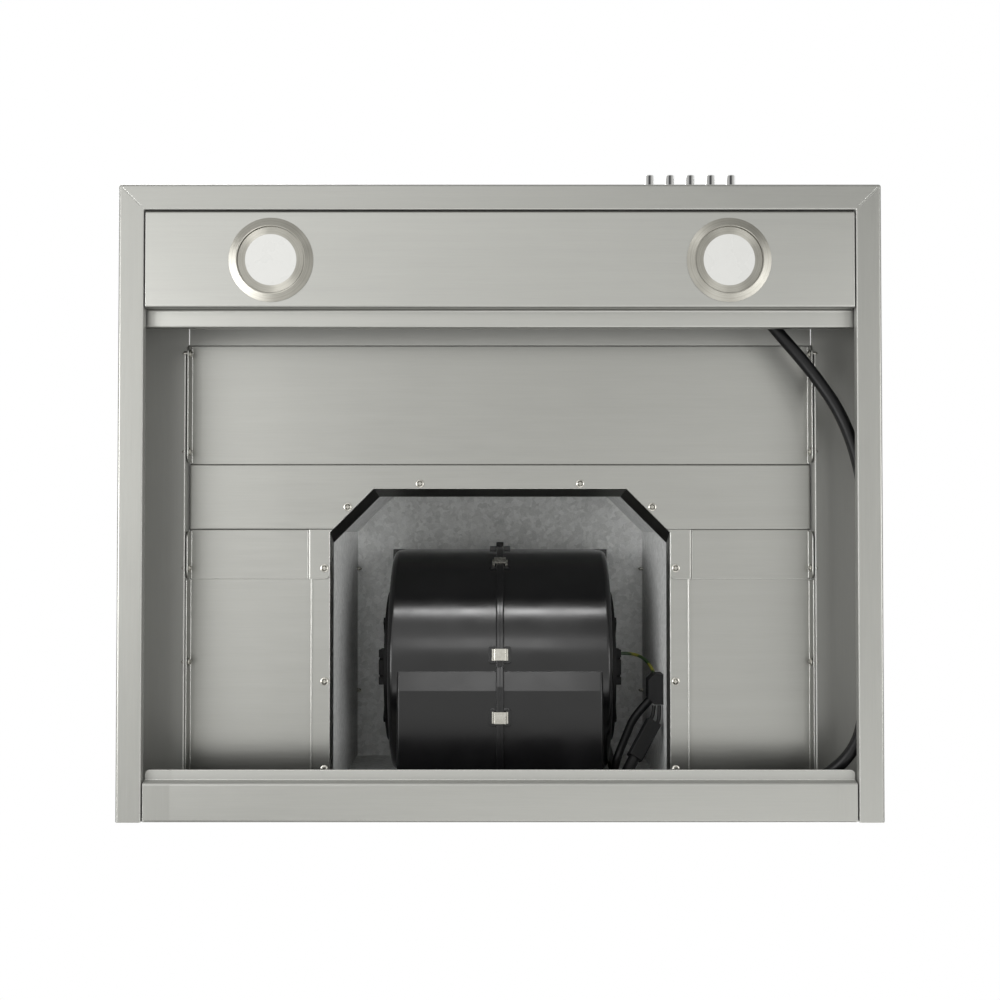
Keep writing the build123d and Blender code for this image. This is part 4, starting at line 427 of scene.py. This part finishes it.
def turnedAluminium(name, settings=turned):
    material, tree, surface, place = newMaterial(name)
    # the distance from the nearer lamp's middle, left and right alike
    parts = addNode(tree, "ShaderNodeSeparateXYZ", {}, {0: place})
    away = addNode(tree, "ShaderNodeMath", {"operation": "ABSOLUTE"}, {0: parts.outputs["X"]})
    side = addNode(tree, "ShaderNodeMath", {"operation": "SIGN"}, {0: parts.outputs["X"]})
    fromX = addNode(tree, "ShaderNodeMath", {"operation": "SUBTRACT", 1: settings["lampX"]},
                    {0: away.outputs[0]})
    trueX = addNode(tree, "ShaderNodeMath", {"operation": "MULTIPLY"},
                    {0: fromX.outputs[0], 1: side.outputs[0]})
    fromY = addNode(tree, "ShaderNodeMath", {"operation": "SUBTRACT", 1: settings["lampY"]},
                    {0: parts.outputs["Y"]})
    flat = addNode(tree, "ShaderNodeCombineXYZ", {}, {"X": trueX.outputs[0], "Y": fromY.outputs[0]})
    radius = addNode(tree, "ShaderNodeVectorMath", {"operation": "LENGTH"}, {0: flat.outputs[0]})
    rings = addNode(tree, "ShaderNodeTexNoise",
                    {"noise_dimensions": "1D", "Scale": 1 / settings["feed"], "Detail": 3.0,
                     "Roughness": 0.7}, {"W": radius.outputs["Value"]})
    clouds = addNode(tree, "ShaderNodeTexNoise", {"Scale": 1 / settings["clouds"], "Detail": 3.0},
                     {"Vector": place})
    shade = addNode(tree, "ShaderNodeMath", {"operation": "MULTIPLY_ADD", 1: 0.3},
                    {0: clouds.outputs["Fac"], 2: rings.outputs["Fac"]})
    level = addNode(tree, "ShaderNodeMapRange", {"From Min": 0.3, "From Max": 1.0},
                    {"Value": shade.outputs[0]})
    colour = addNode(tree, "ShaderNodeMix",
                     {"data_type": "RGBA", 6: linear(settings["dark"]), 7: linear(settings["light"])},
                     {0: level.outputs[0]})
    gloss = addNode(tree, "ShaderNodeMapRange",
                    {"To Min": settings["roughness"][0], "To Max": settings["roughness"][1]},
                    {"Value": rings.outputs["Fac"]})
    bump = addNode(tree, "ShaderNodeBump", {"Strength": 0.4, "Distance": settings["depth"]},
                   {"Height": rings.outputs["Fac"]})
    # the gleam lies across the tool lines, which run round the lamp
    turnedX = addNode(tree, "ShaderNodeMath", {"operation": "MULTIPLY", 1: -1.0}, {0: fromY.outputs[0]})
    tangent = addNode(tree, "ShaderNodeCombineXYZ", {}, {"X": turnedX.outputs[0], "Y": trueX.outputs[0]})
    surface.inputs["Metallic"].default_value = 1.0
    surface.inputs["Anisotropic"].default_value = settings["anisotropy"]
    tree.links.new(colour.outputs[2], surface.inputs["Base Color"])
    tree.links.new(gloss.outputs[0], surface.inputs["Roughness"])
    tree.links.new(bump.outputs[0], surface.inputs["Normal"])
    tree.links.new(tangent.outputs[0], surface.inputs["Tangent"])
    return material


# Moulded plastics and rubber: fine mould texture, and slight mottling in colour and gloss
plastics = {
    # deep and glossy, with one long soft highlight on the scroll
    "charcoal polypropylene, moulded": {
        "dark": "070708", "light": "0d0d0e", "grit": 0.9 * mm, "roughness": (0.17, 0.25),
        "depth": 0.03 * mm, "specular": 0.42},
    # satin, from a spark-eroded mould
    "black nylon, moulded": {
        "dark": "0a0a0b", "light": "151516", "grit": 0.7 * mm, "roughness": (0.42, 0.58),
        "depth": 0.04 * mm, "specular": 0.22},
    # clean and even, a little warm
    "white polypropylene, moulded": {
        "dark": "d9d8d2", "light": "e8e7e2", "grit": 0.8 * mm, "roughness": (0.30, 0.42),
        "depth": 0.02 * mm, "specular": 0.5},
    # matt, with a bloom that greys it
    "black rubber, moulded": {
        "dark": "131313", "light": "202020", "grit": 0.6 * mm, "roughness": (0.60, 0.80),
        "depth": 0.04 * mm, "specular": 0.3},
    # soft sheen along the lead, slightly uneven from the die
    "soft black PVC, extruded": {
        "dark": "060607", "light": "0e0e0f", "grit": 1.4 * mm, "roughness": (0.32, 0.48),
        "depth": 0.05 * mm, "specular": 0.25},
}
plasticSkin = {"mottling": 35.7 * mm, "edge": 0.7 * mm, "ior": 1.49}


def mouldedPlastic(name):
    settings = plastics[name]
    material, tree, surface, place = newMaterial(name)
    grit = addNode(tree, "ShaderNodeTexNoise",
                   {"Scale": 1 / settings["grit"], "Detail": 3.0, "Roughness": 0.6}, {"Vector": place})
    clouds = addNode(tree, "ShaderNodeTexNoise", {"Scale": 1 / plasticSkin["mottling"], "Detail": 3.0},
                     {"Vector": place})
    shade = addNode(tree, "ShaderNodeMath", {"operation": "MULTIPLY_ADD", 1: 0.5},
                    {0: grit.outputs["Fac"], 2: clouds.outputs["Fac"]})
    level = addNode(tree, "ShaderNodeMapRange", {"From Min": 0.45, "From Max": 1.05},
                    {"Value": shade.outputs[0]})
    colour = addNode(tree, "ShaderNodeMix",
                     {"data_type": "RGBA", 6: linear(settings["dark"]), 7: linear(settings["light"])},
                     {0: level.outputs[0]})
    gloss = addNode(tree, "ShaderNodeMapRange",
                    {"From Min": 0.3, "From Max": 0.7, "To Min": settings["roughness"][0],
                     "To Max": settings["roughness"][1]}, {"Value": clouds.outputs["Fac"]})
    relief = roughen(tree, grit.outputs["Fac"], 0.35, settings["depth"], plasticSkin["edge"])
    surface.inputs["IOR"].default_value = plasticSkin["ior"]
    surface.inputs["Specular IOR Level"].default_value = settings["specular"]
    tree.links.new(colour.outputs[2], surface.inputs["Base Color"])
    tree.links.new(gloss.outputs[0], surface.inputs["Roughness"])
    tree.links.new(relief, surface.inputs["Normal"])
    return material


# Opal acrylic lens: white all through and satin, with a trace of light from behind it
lens = {
    "dark": "b3b3b1",
    "light": "b9b9b7",
    "clouds": 22.2 * mm,
    "depth": 0.02 * mm,
    "roughness": (0.22, 0.34),
    "ior": 1.49,
    "glowColour": "fffdf6",
    "glow": 0.02,
}


def opalAcrylic(name, settings=lens):
    material, tree, surface, place = newMaterial(name)
    clouds = addNode(tree, "ShaderNodeTexNoise", {"Scale": 1 / settings["clouds"], "Detail": 3.0},
                     {"Vector": place})
    colour = addNode(tree, "ShaderNodeMix",
                     {"data_type": "RGBA", 6: linear(settings["dark"]), 7: linear(settings["light"])},
                     {0: clouds.outputs["Fac"]})
    gloss = addNode(tree, "ShaderNodeMapRange",
                    {"To Min": settings["roughness"][0], "To Max": settings["roughness"][1]},
                    {"Value": clouds.outputs["Fac"]})
    bump = addNode(tree, "ShaderNodeBump", {"Strength": 0.1, "Distance": settings["depth"]},
                   {"Height": clouds.outputs["Fac"]})
    surface.inputs["IOR"].default_value = settings["ior"]
    surface.inputs["Emission Color"].default_value = linear(settings["glowColour"])
    surface.inputs["Emission Strength"].default_value = settings["glow"]
    tree.links.new(colour.outputs[2], surface.inputs["Base Color"])
    tree.links.new(gloss.outputs[0], surface.inputs["Roughness"])
    tree.links.new(bump.outputs[0], surface.inputs["Normal"])
    return material


# Two-colour PVC of the earth wire: yellow stripes laid round green insulation
earth = {
    "green": "27401f",
    "yellow": "7f7d2f",
    "lay": 14 * mm,  # length of a stripe's turn
    "slant": 0.7,  # how far a stripe leans along the wire
    "grit": 1.11 * mm,
    "depth": 0.03 * mm,
    "roughness": 0.38,
    "ior": 1.52,
}


def stripedPvc(name, settings=earth):
    material, tree, surface, place = newMaterial(name)
    parts = addNode(tree, "ShaderNodeSeparateXYZ", {}, {0: place})
    climb = addNode(tree, "ShaderNodeMath", {"operation": "MULTIPLY_ADD", 1: settings["slant"]},
                    {0: parts.outputs["X"], 2: parts.outputs["Z"]})
    waves = addNode(tree, "ShaderNodeMath", {"operation": "MULTIPLY", 1: 2 * pi / settings["lay"]},
                    {0: climb.outputs[0]})
    wave = addNode(tree, "ShaderNodeMath", {"operation": "SINE"}, {0: waves.outputs[0]})
    stripe = addNode(tree, "ShaderNodeMapRange", {"From Min": -0.15, "From Max": 0.15},
                     {"Value": wave.outputs[0]})
    colour = addNode(tree, "ShaderNodeMix",
                     {"data_type": "RGBA", 6: linear(settings["green"]), 7: linear(settings["yellow"])},
                     {0: stripe.outputs[0]})
    grit = addNode(tree, "ShaderNodeTexNoise", {"Scale": 1 / settings["grit"], "Detail": 2.0},
                   {"Vector": place})
    bump = addNode(tree, "ShaderNodeBump", {"Strength": 0.3, "Distance": settings["depth"]},
                   {"Height": grit.outputs["Fac"]})
    surface.inputs["Roughness"].default_value = settings["roughness"]
    surface.inputs["IOR"].default_value = settings["ior"]
    tree.links.new(colour.outputs[2], surface.inputs["Base Color"])
    tree.links.new(bump.outputs[0], surface.inputs["Normal"])
    return material


canopySteelPaintedShade = brushedStainless("brushed stainless, canopy, painted shade", "x", folds=canopyFolds, settings=rimSheetPaintedShade)
sheetSteel = brushedStainless("brushed stainless, grain across", "x")
roofSteelPaintedShade = brushedStainless("brushed stainless, roof sheet, painted shade", "x", settings=roofSheetPaintedShade)
coverSteel = brushedStainless("brushed stainless, grain upright", "z")
zincSheet = galvanisedSheet("hot-dip galvanised sheet")
nickel = platedMetal("bright nickel-plated steel")
zincSteel = platedMetal("zinc-plated motor steel")
chrome = platedMetal("bright chrome on moulded cap")
lampAluminium = turnedAluminium("die-cast aluminium, turned")
charcoal = mouldedPlastic("charcoal polypropylene, moulded")
nylon = mouldedPlastic("black nylon, moulded")
whitePlastic = mouldedPlastic("white polypropylene, moulded")
rubber = mouldedPlastic("black rubber, moulded")
pvc = mouldedPlastic("soft black PVC, extruded")
opal = opalAcrylic("opal acrylic, moulded")
earthPvc = stripedPvc("green and yellow PVC")
print("materials made")


# Finishes of the CAD nodes that show as they are
finishes = {
    canopySteelPaintedShade: ["canopy_shell", "back_panel"],
    sheetSteel: ["light_panel"],
    roofSteelPaintedShade: ["roof_skin", "roof_stiffener", "cross_band", "opening_collar"],
    coverSteel: ["chimney_lower", "chimney_upper"],
    zincSheet: ["fan_chamber", "chamber_lid", "panel_brackets", "chimney_bracket"],
    nickel: ["housing_clips", "rotor_screws", "bracket_screws", "light_clips", "capacitor_strap",
             "seam_screws", "roof_screws", "mouth_screws", "lid_screws", "flap_rod"],
    zincSteel: ["motor_axle", "rotor_drum", "motor_bearings"],
    chrome: ["push_button_1", "push_button_2", "push_button_3", "push_button_4", "push_button_5"],
    lampAluminium: ["light_body_left", "light_body_right"],
    opal: ["light_lens_left", "light_lens_right"],
    charcoal: ["fan_housing_left", "fan_housing_right", "outlet_adapter", "flap_front", "flap_rear",
               "fan_wheel"],
    nylon: ["inlet_grille_left", "inlet_grille_right", "switch_body", "lamp_driver", "junction_box",
            "junction_cover", "cable_gland", "wire_connector", "lead_clip"],
    whitePlastic: ["capacitor"],
    rubber: ["housing_buffer", "axle_bushes", "lead_grommet"],
}
for finish, names in finishes.items():
    for name in names:
        nodes[name].data.materials.clear()
        nodes[name].data.materials.append(finish)


# Leads inside the hood: points in millimetres, the same as the solids' routes
rim = -45.0  # height of the canopy's rim
leads = {
    "harnessSleeve": {
        "node": "harness_sleeve", "slot": "sleeve", "finish": pvc, "diameter": 10.0, "length": 706.0,
        "points": [
            (185.0, -468.0, rim + 30.0), (185.0, -446.0, rim + 30.0), (196.8, -424.0, rim + 32.5),
            (220.0, -393.0, rim + 34.0), (250.0, -358.0, rim + 31.0), (276.0, -316.0, rim + 21.0),
            (288.0, -262.0, rim + 9.0), (289.0, -205.0, rim + 7.6), (288.4, -148.0, rim + 7.6),
            (288.6, -92.0, rim + 9.0), (282.0, -52.0, rim + 18.0), (252.0, -25.0, rim + 29.0),
            (205.0, -17.0, rim + 32.0), (160.0, -14.0, rim + 33.5), (128.0, -12.2, rim + 37.5),
            (104.5, -11.4, rim + 53.0), (101.2, -11.4, rim + 84.0), (104.7, -17.0, rim + 96.4),
            (110.8, -26.9, rim + 104.2), (114.8, -33.3, rim + 106.8),
        ],
    },
    "motorLead": {
        "node": "motor_lead", "slot": "sleeve", "finish": pvc, "diameter": 7.2, "length": 265.0,
        "points": [
            (131.1, -79.5, rim + 134.0), (117.1, -65.5, rim + 134.0), (109.6, -49.4, rim + 126.5),
            (101.4, -33.0, rim + 118.0), (98.8, -20.5, rim + 121.0), (99.0, -12.0, rim + 131.5),
            (100.8, -10.0, rim + 146.0), (102.6, -12.0, rim + 185.0), (102.9, -17.5, rim + 228.0),
            (102.6, -25.0, rim + 268.0), (102.6, -25.0, rim + 311.0),
        ],
    },
    "earthWire": {
        "node": "earth_wire", "slot": "earth_insulation", "finish": earthPvc, "diameter": 3.0,
        "length": 65.0,
        "points": [
            (110.5, -115.6, rim + 188.0), (121.0, -115.6, rim + 188.0), (131.0, -112.1, rim + 177.0),
            (136.8, -103.7, rim + 163.0), (137.8, -95.2, rim + 151.0), (137.8, -95.2, rim + 143.0),
        ],
    },
    "connectorLeadLeft": {
        "node": "connector_lead_left", "slot": "sleeve", "finish": pvc, "diameter": 3.4, "length": 14.0,
        "points": [
            (130.1, -63.9, rim + 118.9), (133.0, -68.6, rim + 120.8), (133.4, -75.9, rim + 123.0),
        ],
    },
    "connectorLeadRight": {
        "node": "connector_lead_right", "slot": "sleeve", "finish": pvc, "diameter": 3.4, "length": 18.0,
        "points": [
            (135.5, -60.6, rim + 118.6), (138.5, -65.4, rim + 120.6), (138.2, -75.9, rim + 123.4),
        ],
    },
}
leadCurve = {"steps": 12, "roundSteps": 6}


def layLead(name, facts):
    # a round lead on one smooth curve through its route
    curve = bpy.data.curves.new(name, "CURVE")
    curve.dimensions = "3D"
    curve.resolution_u = leadCurve["steps"]
    curve.bevel_depth = facts["diameter"] / 2 * mm
    curve.bevel_resolution = leadCurve["roundSteps"]
    curve.use_fill_caps = True
    spline = curve.splines.new("NURBS")
    spline.points.add(len(facts["points"]) - 1)
    for point, place in zip(spline.points, facts["points"]):
        point.co = (*(mm * value for value in place), 1.0)
    spline.order_u = 3
    spline.use_endpoint_u = True
    lead = bpy.data.objects.new(name, curve)
    bpy.context.scene.collection.objects.link(lead)
    curve.materials.append(facts["finish"])
    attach(lead, "hood")
    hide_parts(facts["node"])


for name, facts in leads.items():
    layLead(name, facts)
print("leads laid")
